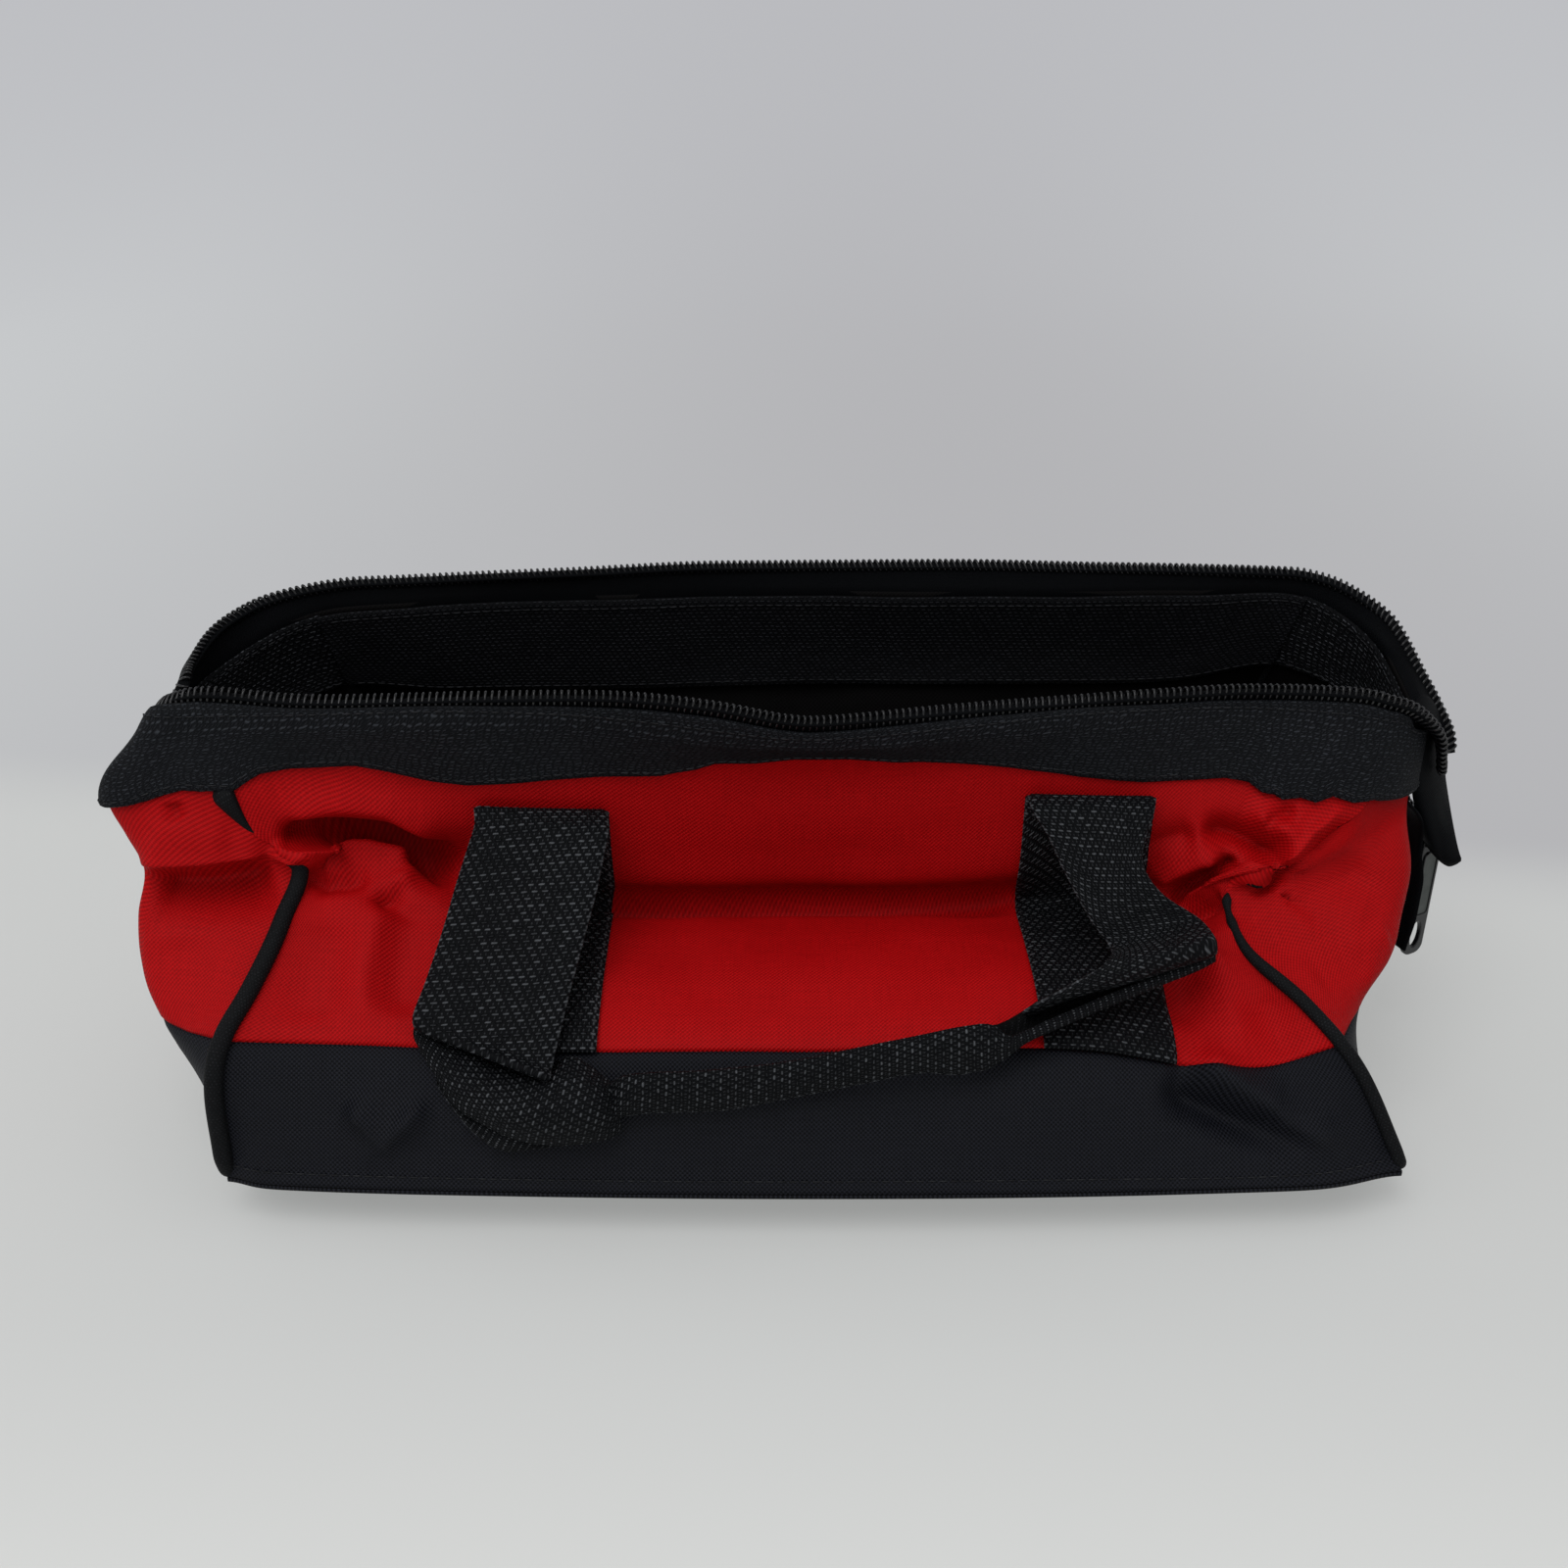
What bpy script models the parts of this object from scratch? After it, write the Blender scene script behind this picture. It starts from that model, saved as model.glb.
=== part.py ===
# Soft tool bag: a sewn shell of fabric panels with a webbing bound mouth, a zipper and two webbing handles.
# Metres, +X along the bag, +Y to the rear, +Z up, origin on the floor under the middle of the base.

import math

import bmesh
import bpy
import numpy as np

# Driving dimensions, in metres
HALF_SPAN = 0.200
HALF_DEPTH = 0.100
SIDE_HEIGHT = 0.100
FABRIC = 0.0016
BASE_FABRIC = 0.0016
BOARD_THICK = 0.0030
BOARD_INSET = 0.0060
SEAM_GAP = 0.0003
PIPING_RADIUS = 0.0022
BAND_THICK = 0.0013
TAPE_THICK = 0.0010
TAPE_TUCK = 0.0050
COIL_RADIUS = 0.0021
STRAP_WIDTH = 0.038
STRAP_THICK = 0.0016
STRAP_LIFT = 0.0009
GRIP_GAP = 0.0012
FOLD_RADIUS = 0.0024
TAIL_WIDTH = 0.026
TAIL_THICK = 0.0012
TAIL_COIL_WIDTH = 0.0050
TAIL_COIL_THICK = 0.0012
SLIDER_WIDTH = 0.0080
SLIDER_LENGTH = 0.0100
SLIDER_THICK = 0.0040
HOOP_WIDTH = 0.0026
HOOP_HEIGHT = 0.0046
HOOP_LENGTH = 0.0064
HOOP_BAR = 0.0015
PULL_LENGTH = 0.048
PULL_WIDTH = 0.0080
PULL_SLOT = 0.0036
STOP_HEIGHT = 0.0050

# The wall, as columns of eight level points walking round the bag, each a share of the three sizes above.
# The levels go base edge, kick band top, low red, below the crease, crease, above it, band bottom, rim.
FRONT_SHARES = (
    ((-0.825, -0.99, 0.02), (-0.815, -0.88, 0.42), (-0.79, -0.76, 0.50), (-0.76, -0.58, 0.63),
     (-0.745, -0.46, 0.75), (-0.80, -0.48, 0.86), (-0.84, -0.48, 1.00), (-0.885, -0.41, 1.16)),
    ((-0.68, -1.01, 0.02), (-0.68, -0.85, 0.39), (-0.69, -0.70, 0.50), (-0.705, -0.54, 0.66),
     (-0.71, -0.37, 0.78), (-0.705, -0.41, 0.87), (-0.70, -0.42, 1.00), (-0.70, -0.42, 1.18)),
    ((-0.395, -1.03, 0.02), (-0.395, -0.87, 0.38), (-0.395, -0.69, 0.47), (-0.395, -0.50, 0.53),
     (-0.395, -0.33, 0.58), (-0.395, -0.36, 0.80), (-0.395, -0.37, 0.98), (-0.395, -0.39, 1.18)),
    ((0, -1.04, 0.02), (0, -0.87, 0.38), (0, -0.64, 0.44), (0, -0.38, 0.455),
     (0, -0.17, 0.47), (0, -0.21, 0.70), (0, -0.24, 0.96), (0, -0.29, 1.06)),
    ((0.39, -1.03, 0.02), (0.385, -0.85, 0.37), (0.395, -0.65, 0.44), (0.395, -0.45, 0.47),
     (0.40, -0.25, 0.50), (0.41, -0.28, 0.73), (0.41, -0.27, 0.95), (0.405, -0.26, 1.12)),
    ((0.64, -1.01, 0.02), (0.64, -0.82, 0.29), (0.63, -0.66, 0.40), (0.60, -0.50, 0.50),
     (0.60, -0.34, 0.58), (0.635, -0.33, 0.75), (0.65, -0.26, 0.92), (0.65, -0.19, 1.12)),
    ((0.835, -0.99, 0.02), (0.745, -0.80, 0.35), (0.70, -0.72, 0.435), (0.625, -0.52, 0.53),
     (0.62, -0.40, 0.61), (0.75, -0.38, 0.74), (0.83, -0.30, 0.88), (0.87, -0.17, 1.06)),
)
RIGHT_SHARES = (
    FRONT_SHARES[-1],
    ((0.835, -0.60, 0.02), (0.82, -0.55, 0.34), (0.855, -0.50, 0.44), (0.88, -0.42, 0.54),
     (0.905, -0.32, 0.66), (0.90, -0.26, 0.79), (0.92, -0.14, 0.86), (0.93, -0.09, 1.03)),
    ((0.835, 0, 0.02), (0.86, 0, 0.34), (0.885, 0, 0.46), (0.90, -0.02, 0.56),
     (0.90, -0.03, 0.67), (0.895, 0.02, 0.80), (0.915, 0.05, 0.91), (0.935, 0.06, 1.07)),
    ((0.835, 0.55, 0.02), (0.86, 0.48, 0.36), (0.89, 0.42, 0.50), (0.90, 0.38, 0.62),
     (0.89, 0.34, 0.74), (0.89, 0.33, 0.90), (0.90, 0.31, 1.03), (0.905, 0.27, 1.20)),
    ((0.835, 0.99, 0.02), (0.81, 0.88, 0.38), (0.785, 0.80, 0.52), (0.77, 0.72, 0.66),
     (0.76, 0.60, 0.80), (0.78, 0.54, 0.94), (0.80, 0.48, 1.10), (0.825, 0.43, 1.28)),
)
REAR_SHARES = (
    RIGHT_SHARES[-1],
    ((0.64, 1.01, 0.02), (0.63, 0.91, 0.38), (0.62, 0.76, 0.52), (0.61, 0.62, 0.61),
     (0.61, 0.52, 0.70), (0.62, 0.52, 0.86), (0.63, 0.52, 1.04), (0.64, 0.48, 1.28)),
    ((0.39, 1.02, 0.02), (0.39, 0.92, 0.38), (0.39, 0.74, 0.50), (0.39, 0.56, 0.58),
     (0.39, 0.47, 0.66), (0.39, 0.52, 0.84), (0.39, 0.53, 1.03), (0.39, 0.49, 1.27)),
    ((0, 1.03, 0.02), (0, 0.93, 0.38), (0, 0.74, 0.50), (0, 0.55, 0.57),
     (0, 0.46, 0.65), (0, 0.52, 0.83), (0, 0.54, 1.03), (0, 0.50, 1.27)),
    ((-0.39, 1.02, 0.02), (-0.39, 0.92, 0.38), (-0.39, 0.74, 0.50), (-0.39, 0.54, 0.57),
     (-0.39, 0.45, 0.64), (-0.39, 0.49, 0.83), (-0.39, 0.48, 1.04), (-0.39, 0.45, 1.27)),
    ((-0.64, 1.01, 0.02), (-0.63, 0.90, 0.38), (-0.62, 0.74, 0.52), (-0.60, 0.58, 0.61),
     (-0.595, 0.48, 0.70), (-0.61, 0.45, 0.87), (-0.62, 0.40, 1.06), (-0.63, 0.36, 1.28)),
    ((-0.835, 0.99, 0.02), (-0.80, 0.88, 0.38), (-0.775, 0.76, 0.54), (-0.76, 0.62, 0.67),
     (-0.75, 0.50, 0.79), (-0.76, 0.40, 0.93), (-0.775, 0.34, 1.07), (-0.795, 0.28, 1.27)),
)
LEFT_SHARES = (
    REAR_SHARES[-1],
    ((-0.835, 0.50, 0.02), (-0.89, 0.44, 0.38), (-0.905, 0.36, 0.52), (-0.90, 0.28, 0.64),
     (-0.88, 0.20, 0.76), (-0.885, 0.15, 0.88), (-0.90, 0.10, 1.00), (-0.92, 0.04, 1.18)),
    ((-0.835, -0.20, 0.02), (-0.93, -0.22, 0.38), (-0.965, -0.20, 0.50), (-0.975, -0.18, 0.62),
     (-0.955, -0.20, 0.75), (-0.975, -0.24, 0.85), (-0.99, -0.26, 0.96), (-0.96, -0.25, 1.13)),
    ((-0.835, -0.75, 0.02), (-0.92, -0.75, 0.39), (-0.96, -0.64, 0.50), (-0.97, -0.57, 0.62),
     (-0.965, -0.50, 0.76), (-0.985, -0.48, 0.86), (-1.01, -0.45, 0.95), (-0.94, -0.40, 1.15)),
    FRONT_SHARES[0],
)
# How far each level turns the seams' corners into smooth bends
CORNER_ROUND_SHARES = (0, 0, 0, 0, 0, 0.3, 1, 1)

# The two coils' middle lines: x, y and z shares, then the place along the rim that each point stands over.
FRONT_COIL_SHARES = (
    (-0.945, -0.28, 1.165, -1.85), (-0.92, -0.34, 1.21, -1.0), (-0.85, -0.38, 1.245, 0.15),
    (-0.71, -0.39, 1.225, 0.95), (-0.485, -0.38, 1.23, 1.7), (-0.29, -0.36, 1.225, 2.25),
    (-0.15, -0.33, 1.185, 2.6), (-0.04, -0.30, 1.13, 2.9), (0.03, -0.285, 1.12, 3.07),
    (0.19, -0.26, 1.14, 3.45), (0.30, -0.25, 1.155, 3.72), (0.535, -0.21, 1.175, 4.5),
    (0.655, -0.19, 1.18, 5.0), (0.80, -0.18, 1.165, 5.65), (0.86, -0.18, 1.14, 5.95),
    (0.90, -0.17, 1.11, 6.3), (0.945, -0.15, 1.03, 6.75), (0.965, -0.12, 0.94, 7.1),
    (0.975, -0.09, 0.88, 7.4),
)
REAR_COIL_SHARES = (
    (-0.92, -0.20, 1.22, 17.9), (-0.928, -0.10, 1.23, 17.55), (-0.918, 0.04, 1.27, 17.0),
    (-0.893, 0.14, 1.30, 16.7), (-0.847, 0.24, 1.325, 16.3), (-0.755, 0.32, 1.345, 15.8),
    (-0.653, 0.36, 1.345, 15.1), (-0.50, 0.41, 1.345, 14.45), (-0.36, 0.45, 1.345, 13.95),
    (-0.20, 0.49, 1.35, 13.5), (-0.04, 0.52, 1.345, 13.1), (0.155, 0.53, 1.345, 12.6),
    (0.285, 0.53, 1.345, 12.25), (0.45, 0.52, 1.34, 11.8), (0.61, 0.50, 1.34, 11.15),
    (0.765, 0.47, 1.34, 10.35), (0.815, 0.44, 1.34, 10.05), (0.865, 0.38, 1.32, 9.6),
    (0.92, 0.30, 1.26, 9.1), (0.945, 0.24, 1.20, 8.8), (0.968, 0.16, 1.11, 8.5),
    (0.990, 0.10, 1.03, 8.25), (1.005, 0.05, 0.96, 8.05), (1.01, 0.02, 0.89, 7.85),
)
# Where the tape leaves the band to fold outwards over the right end, in the same places along the rim
TAPE_FOLD_SHARES = (6.2, 7.0, 9.2, 8.2)
# How deep in the fabric's thickness the tape lies
TAPE_DEPTH_SHARE = 0.56

# The open zipper's tail beyond the mouth: front edge, fold line and rear edge of each row
TAIL_SHARES = (
    ((0.962, -0.17, 0.83), (0.99, -0.04, 0.83), (0.972, 0.13, 0.85)),
    ((0.962, -0.165, 0.78), (1.007, -0.03, 0.74), (0.972, 0.135, 0.78)),
    ((0.964, -0.155, 0.72), (1.025, -0.02, 0.65), (0.974, 0.13, 0.71)),
    ((0.966, -0.145, 0.67), (1.045, -0.02, 0.56), (0.977, 0.12, 0.64)),
)
# The closed end of the zipper, hanging under the band: x and z of its middle line
TAIL_END_SHARES = ((0.9105, 0.80), (0.938, 0.73), (0.9385, 0.60), (0.9385, 0.45), (0.9385, 0.28))
TAIL_Y_SHARE = -0.04
SLIDER_PLACE_SHARE = 0.35

# The handle: middle line, across direction, width share and lengthwise fold share of each row
FRONT_HANDLE_SHARES = (
    (-0.395, -0.415, 0.875, 1, 0, 0, 1, 0), (-0.40, -0.49, 0.80, 1, 0, 0, 1, 0),
    (-0.412, -0.59, 0.70, 1, 0, 0, 1, 0), (-0.425, -0.72, 0.60, 1, 0, 0, 1, 0),
    (-0.44, -0.86, 0.495, 1, 0, 0, 1, 0), (-0.445, -0.96, 0.39, 0.95, -0.1, 0.1, 0.9, 0.1),
    (-0.44, -1.09, 0.28, 0.8, -0.3, 0.4, 0.75, 0.4), (-0.41, -1.11, 0.19, 0.45, -0.6, 0.5, 0.6, 0.7),
    (-0.36, -1.11, 0.165, 0.1, -0.9, 0.4, 0.6, 0.9), (-0.30, -1.06, 0.20, 0, -1, 0.2, 0.6, 1),
    (-0.25, -0.99, 0.25, 0, -1, 0.1, 0.65, 1), (-0.15, -0.98, 0.27, 0, -1, 0.1, 0.65, 1),
    (-0.04, -0.97, 0.295, 0, -1, 0.1, 0.65, 1), (0.07, -0.965, 0.34, 0, -1, 0.1, 0.65, 1),
    (0.175, -0.96, 0.395, 0, -1, 0.1, 0.65, 1), (0.26, -0.94, 0.44, 0, -1, 0.2, 0.65, 0.9),
    (0.34, -0.91, 0.49, -0.1, -0.9, 0.4, 0.7, 0.75), (0.41, -0.85, 0.55, -0.5, -0.6, 0.5, 0.7, 0.5),
    (0.455, -0.77, 0.62, -0.85, -0.3, 0.3, 0.8, 0.3), (0.465, -0.67, 0.70, -1, 0, 0, 0.9, 0.1),
    (0.445, -0.57, 0.76, -1, 0, 0, 1, 0), (0.425, -0.47, 0.82, -1, 0, 0, 1, 0),
    (0.415, -0.36, 0.88, -1, 0, 0, 1, 0),
)
REAR_HANDLE_SHARES = (
    (-0.40, 0.57, 0.875, 1, 0, 0, 1, 0), (-0.40, 0.64, 0.80, 1, 0, 0, 1, 0),
    (-0.40, 0.71, 0.70, 1, 0, 0, 1, 0), (-0.40, 0.80, 0.60, 1, 0, 0, 1, 0),
    (-0.40, 0.93, 0.50, 1, 0, 0, 1, 0), (-0.395, 1.03, 0.39, 0.95, 0.1, 0.1, 0.9, 0.1),
    (-0.38, 1.09, 0.28, 0.8, 0.3, 0.4, 0.75, 0.4), (-0.34, 1.15, 0.20, 0.45, 0.6, 0.5, 0.6, 0.7),
    (-0.28, 1.15, 0.17, 0.1, 0.9, 0.4, 0.6, 0.9), (-0.20, 1.11, 0.17, 0, 1, 0.2, 0.65, 1),
    (-0.10, 1.10, 0.175, 0, 1, 0.1, 0.65, 1), (0, 1.10, 0.175, 0, 1, 0.1, 0.65, 1),
    (0.10, 1.10, 0.175, 0, 1, 0.1, 0.65, 1), (0.20, 1.11, 0.17, 0, 1, 0.2, 0.65, 1),
    (0.28, 1.15, 0.17, -0.1, 0.9, 0.4, 0.6, 0.9), (0.34, 1.15, 0.20, -0.45, 0.6, 0.5, 0.6, 0.7),
    (0.38, 1.09, 0.28, -0.8, 0.3, 0.4, 0.75, 0.4), (0.395, 1.03, 0.39, -0.95, 0.1, 0.1, 0.9, 0.1),
    (0.40, 0.93, 0.50, -1, 0, 0, 1, 0), (0.40, 0.80, 0.60, -1, 0, 0, 1, 0),
    (0.40, 0.71, 0.70, -1, 0, 0, 1, 0), (0.40, 0.65, 0.80, -1, 0, 0, 1, 0),
    (0.40, 0.57, 0.875, -1, 0, 0, 1, 0),
)
# The middle of each fixed strap, the levels where it starts and ends,
# and how far below its top the handle folds
STRAP_X_SHARES = (-0.395, 0.415)
REAR_STRAP_X_SHARE = 0.40
STRAP_FOOT_SHARE = 1.04
STRAP_TOP_SHARES = (5.45, 5.68)
HANDLE_FOLD_SHARE = 0.07
# How finely the wall's grid is cut between columns and between levels, shared by all that lies on it
PLACE_SHARE = 1 / 3
LEVEL_SHARE = 1 / 2

SIZE = np.array((HALF_SPAN, HALF_DEPTH, SIDE_HEIGHT))
WALLS = [np.array(w, float) * SIZE for w in (FRONT_SHARES, RIGHT_SHARES, REAR_SHARES, LEFT_SHARES)]
LEVELS = len(CORNER_ROUND_SHARES)
LOOP = np.concatenate([w[:-1] for w in WALLS])
CORNERS = np.cumsum([0] + [len(w) - 1 for w in WALLS])
COLUMNS = len(LOOP)
SMALL = 0.001


def hermite(a, b, slope_a, slope_b, t):
    """A cubic from a to b with the given end slopes."""
    bend = (2 * t**3 - 3 * t**2 + 1) * a + (t**3 - 2 * t**2 + t) * slope_a
    return bend + (-2 * t**3 + 3 * t**2) * b + (t**3 - t**2) * slope_b


def level_slopes(level):
    """The chord from each column to the next, and the slopes before and after each column."""
    points = LOOP[:, level]
    after = np.roll(points, -1, 0) - points
    chord = np.linalg.norm(after, axis=1)
    before = np.roll(after, 1, 0)
    back = np.roll(chord, 1)
    ahead, behind = after / chord[:, None], before / back[:, None]
    mean = (ahead * back[:, None] + behind * chord[:, None]) / (chord + back)[:, None]
    into, out = mean.copy(), mean.copy()
    for corner in CORNERS[:-1]:
        share = CORNER_ROUND_SHARES[level]
        into[corner] = share * mean[corner] + (1 - share) * behind[corner]
        out[corner] = share * mean[corner] + (1 - share) * ahead[corner]
    return chord, into, out


SLOPES = [level_slopes(level) for level in range(LEVELS)]


def column_at(place):
    """The eight level points at one place along the loop."""
    first = int(math.floor(place)) % COLUMNS
    t = place - math.floor(place)
    second = (first + 1) % COLUMNS
    rows = []
    for level in range(LEVELS):
        chord, into, out = SLOPES[level]
        slope_a, slope_b = out[first] * chord[first], into[second] * chord[first]
        rows.append(hermite(LOOP[first, level], LOOP[second, level], slope_a, slope_b, t))
    return np.array(rows)


def wall_at(place, level):
    """A point of the wall's outer face."""
    column = column_at(place)
    steps = np.diff(column, axis=0)
    length = np.linalg.norm(steps, axis=1)[:, None]
    unit = steps / length
    mean = (unit[1:] * length[:-1] + unit[:-1] * length[1:]) / (length[1:] + length[:-1])
    slope = np.concatenate([unit[:1], mean, unit[-1:]])
    low = min(max(int(level), 0), LEVELS - 2)
    step = length[low]
    return hermite(column[low], column[low + 1], slope[low] * step, slope[low + 1] * step, level - low)


NODES = {}


def wall_node(i, j):
    """A crossing of the wall's grid lines, worked out once."""
    if (i, j) not in NODES:
        NODES[i, j] = wall_at(i * PLACE_SHARE, j * LEVEL_SHARE)
    return NODES[i, j]


def facet_at(place, level):
    """A point of the wall as its coarse grid has it, so that all layers are cut alike."""
    i = math.floor(place / PLACE_SHARE + SMALL * SMALL)
    j = min(math.floor(level / LEVEL_SHARE + SMALL * SMALL), round((LEVELS - 1) / LEVEL_SHARE) - 1)
    s, t = place / PLACE_SHARE - i, level / LEVEL_SHARE - j
    foot = wall_node(i, j) * (1 - s) + wall_node(i + 1, j) * s
    head = wall_node(i, j + 1) * (1 - s) + wall_node(i + 1, j + 1) * s
    return foot * (1 - t) + head * t


def outward_at(place, level):
    """The wall's outward direction."""
    low, high = max(level - SMALL, 0), min(level + SMALL, LEVELS - 1)
    along = wall_at(place + SMALL, level) - wall_at(place - SMALL, level)
    up = wall_at(place, high) - wall_at(place, low)
    normal = np.cross(along, up)
    return normal / np.linalg.norm(normal)


def unit(v):
    """The same direction, one long."""
    return np.asarray(v, float) / np.linalg.norm(v)


def box_blend(values, places):
    """Values of a table of rows, read at fractional row places by a smooth curve through the rows."""
    table = np.asarray(values, float)
    slope = np.gradient(table, axis=0)
    rows = []
    for place in places:
        low = min(int(place), len(table) - 2)
        rows.append(hermite(table[low], table[low + 1], slope[low], slope[low + 1], place - low))
    return np.array(rows)


def make(name, colour, roughness, points, faces, origin=(0, 0, 0)):
    """One mesh object with its own material, its origin at the given point."""
    mesh = bpy.data.meshes.new(name)
    home = np.asarray(origin, float)
    mesh.from_pydata([tuple(p - home) for p in points], [], faces)
    mesh.validate()
    obj = bpy.data.objects.new(name, mesh)
    obj.location = tuple(home)
    bpy.context.scene.collection.objects.link(obj)
    material = bpy.data.materials.new(name + "_material")
    material.use_nodes = True
    shader = material.node_tree.nodes["Principled BSDF"]
    shader.inputs["Base Color"].default_value = (*colour, 1)
    shader.inputs["Roughness"].default_value = roughness
    mesh.materials.append(material)
    shell = bmesh.new()
    shell.from_mesh(mesh)
    bmesh.ops.recalc_face_normals(shell, faces=shell.faces)
    if shell.calc_volume(signed=True) < 0:
        bmesh.ops.reverse_faces(shell, faces=shell.faces)
    shell.to_mesh(mesh)
    shell.free()
    return obj


def slab_faces(rows, cols, ring=False):
    """The faces of two grids of points, one over the other, joined round their edge."""
    faces = []
    under = rows * cols
    last = rows if ring else rows - 1
    for i in range(last):
        for j in range(cols - 1):
            a, b = i * cols + j, (i + 1) % rows * cols + j
            faces.append((a, b, b + 1, a + 1))
            faces.append((under + a, under + a + 1, under + b + 1, under + b))
    for i in range(last):
        a, b = i * cols, (i + 1) % rows * cols
        faces.append((a, under + a, under + b, b))
        faces.append((a + cols - 1, b + cols - 1, under + b + cols - 1, under + a + cols - 1))
    if not ring:
        for j in range(cols - 1):
            end = (rows - 1) * cols
            faces.append((j, j + 1, under + j + 1, under + j))
            faces.append((end + j, under + end + j, under + end + j + 1, end + j + 1))
    return faces


def slab(name, colour, roughness, outer, inner, origin=(0, 0, 0)):
    """A solid between two grids of points."""
    rows, cols = outer.shape[:2]
    points = np.concatenate([outer.reshape(-1, 3), inner.reshape(-1, 3)])
    return make(name, colour, roughness, points, slab_faces(rows, cols), origin)


def trimmed_place(start, level, length):
    """The place along the loop that lies the given length from a start. A negative length goes back."""
    step = math.copysign(0.02, length)
    speed = np.linalg.norm(wall_at(start + step, level) - wall_at(start + step / 2, level)) / (0.02 / 2)
    return start + length / speed


def trimmed_level(place, start, length):
    """The level that lies the given length above a start. A negative length goes down."""
    step = math.copysign(0.02, length)
    speed = np.linalg.norm(wall_at(place, start + step) - wall_at(place, start + step / 2)) / (0.02 / 2)
    return start + length / speed


def grid_lines(first, last, share):
    """The wall grid's lines between two places, with both ends."""
    lines = [share * k for k in range(math.floor(first / share) + 1, math.ceil(last / share))]
    return [first] + [line for line in lines if first + share / 8 < line < last - share / 8] + [last]


def kept_apart(lines, first, last, share):
    """The lines with their ends moved in, and the lines between kept in order."""
    count = len(lines) - 1
    step = share / 12
    return [min(max(line, first + step * k), last - step * (count - k)) for k, line in enumerate(lines)]


def seam_skew(place, level):
    """How much longer a trim has to be along a level where the seam leans."""
    step = 0.02
    low, high = max(level - step, 0), min(level + step, LEVELS - 1)
    up = unit(wall_at(place, high) - wall_at(place, low))
    longest = 1
    for side in (-step, step):
        along = unit(wall_at(place + side, level) - wall_at(place + side / 2, level))
        longest = max(longest, 1 / max(np.linalg.norm(np.cross(along, up)), 0.4))
    return longest


def wall_patch(name, colour, roughness, first, last, low, high, trims, offset, thick):
    """A fabric piece that follows the wall. trims are lengths cut from its start, end, foot and top."""
    places, levels = grid_lines(first, last, PLACE_SHARE), grid_lines(low, high, LEVEL_SHARE)
    outer, inner = np.zeros((len(places), len(levels), 3)), np.zeros((len(places), len(levels), 3))
    for j, level in enumerate(levels):
        start = trimmed_place(first, level, trims[0] * seam_skew(first, level)) if trims[0] else first
        end = trimmed_place(last, level, -trims[1] * seam_skew(last, level)) if trims[1] else last
        for i, place in enumerate(kept_apart(places, start, end, PLACE_SHARE)):
            foot = trimmed_level(place, low, trims[2]) if trims[2] else low
            top = trimmed_level(place, high, -trims[3]) if trims[3] else high
            at = kept_apart(levels, foot, top, LEVEL_SHARE)[j]
            point, out = facet_at(place, at), outward_at(place, at)
            outer[i, j] = point + out * offset
            inner[i, j] = point + out * (offset - thick)
    return slab(name, colour, roughness, outer, inner)


def tube(name, colour, roughness, path, radius, sides, flat=1.0, up=(0, 0, 1)):
    """A closed tube along a path. flat below one makes it thinner along its own second direction."""
    path = np.asarray(path, float)
    along = np.gradient(path, axis=0)
    points, faces = [], []
    guide = np.asarray(up, float)
    for i, centre in enumerate(path):
        direction = unit(along[i])
        guide = unit(guide - direction * guide.dot(direction))
        second = np.cross(direction, guide)
        for k in range(sides):
            turn = math.tau * k / sides
            points.append(centre + guide * radius * math.cos(turn) + second * radius * flat * math.sin(turn))
    for i in range(len(path) - 1):
        for k in range(sides):
            a, b = i * sides + k, i * sides + (k + 1) % sides
            faces.append((a, b, b + sides, a + sides))
    faces.append(tuple(range(sides))[::-1])
    faces.append(tuple(range((len(path) - 1) * sides, len(path) * sides)))
    return make(name, colour, roughness, points, faces)


def prism(name, colour, roughness, outline, low, high):
    """An outline of x and y points raised from one height to another."""
    count = len(outline)
    points = [np.array((x, y, z)) for z in (low, high) for x, y in outline]
    faces = [tuple(range(count))[::-1], tuple(range(count, 2 * count))]
    faces += [(k, (k + 1) % count, (k + 1) % count + count, k + count) for k in range(count)]
    return make(name, colour, roughness, points, faces)


def base_outline(side_inset, end_inset):
    """The base's outline, taken in from the wall's lower edge."""
    outline = []
    for first, last in ((CORNERS[0], CORNERS[1]), (CORNERS[2], CORNERS[3])):
        for i in range(9):
            start, end = trimmed_place(first, 0, end_inset), trimmed_place(last, 0, -end_inset)
            point = wall_at(start + (end - start) * i / 8, 0)
            outline.append((point[0], point[1] - math.copysign(side_inset, point[1])))
    return outline


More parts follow.
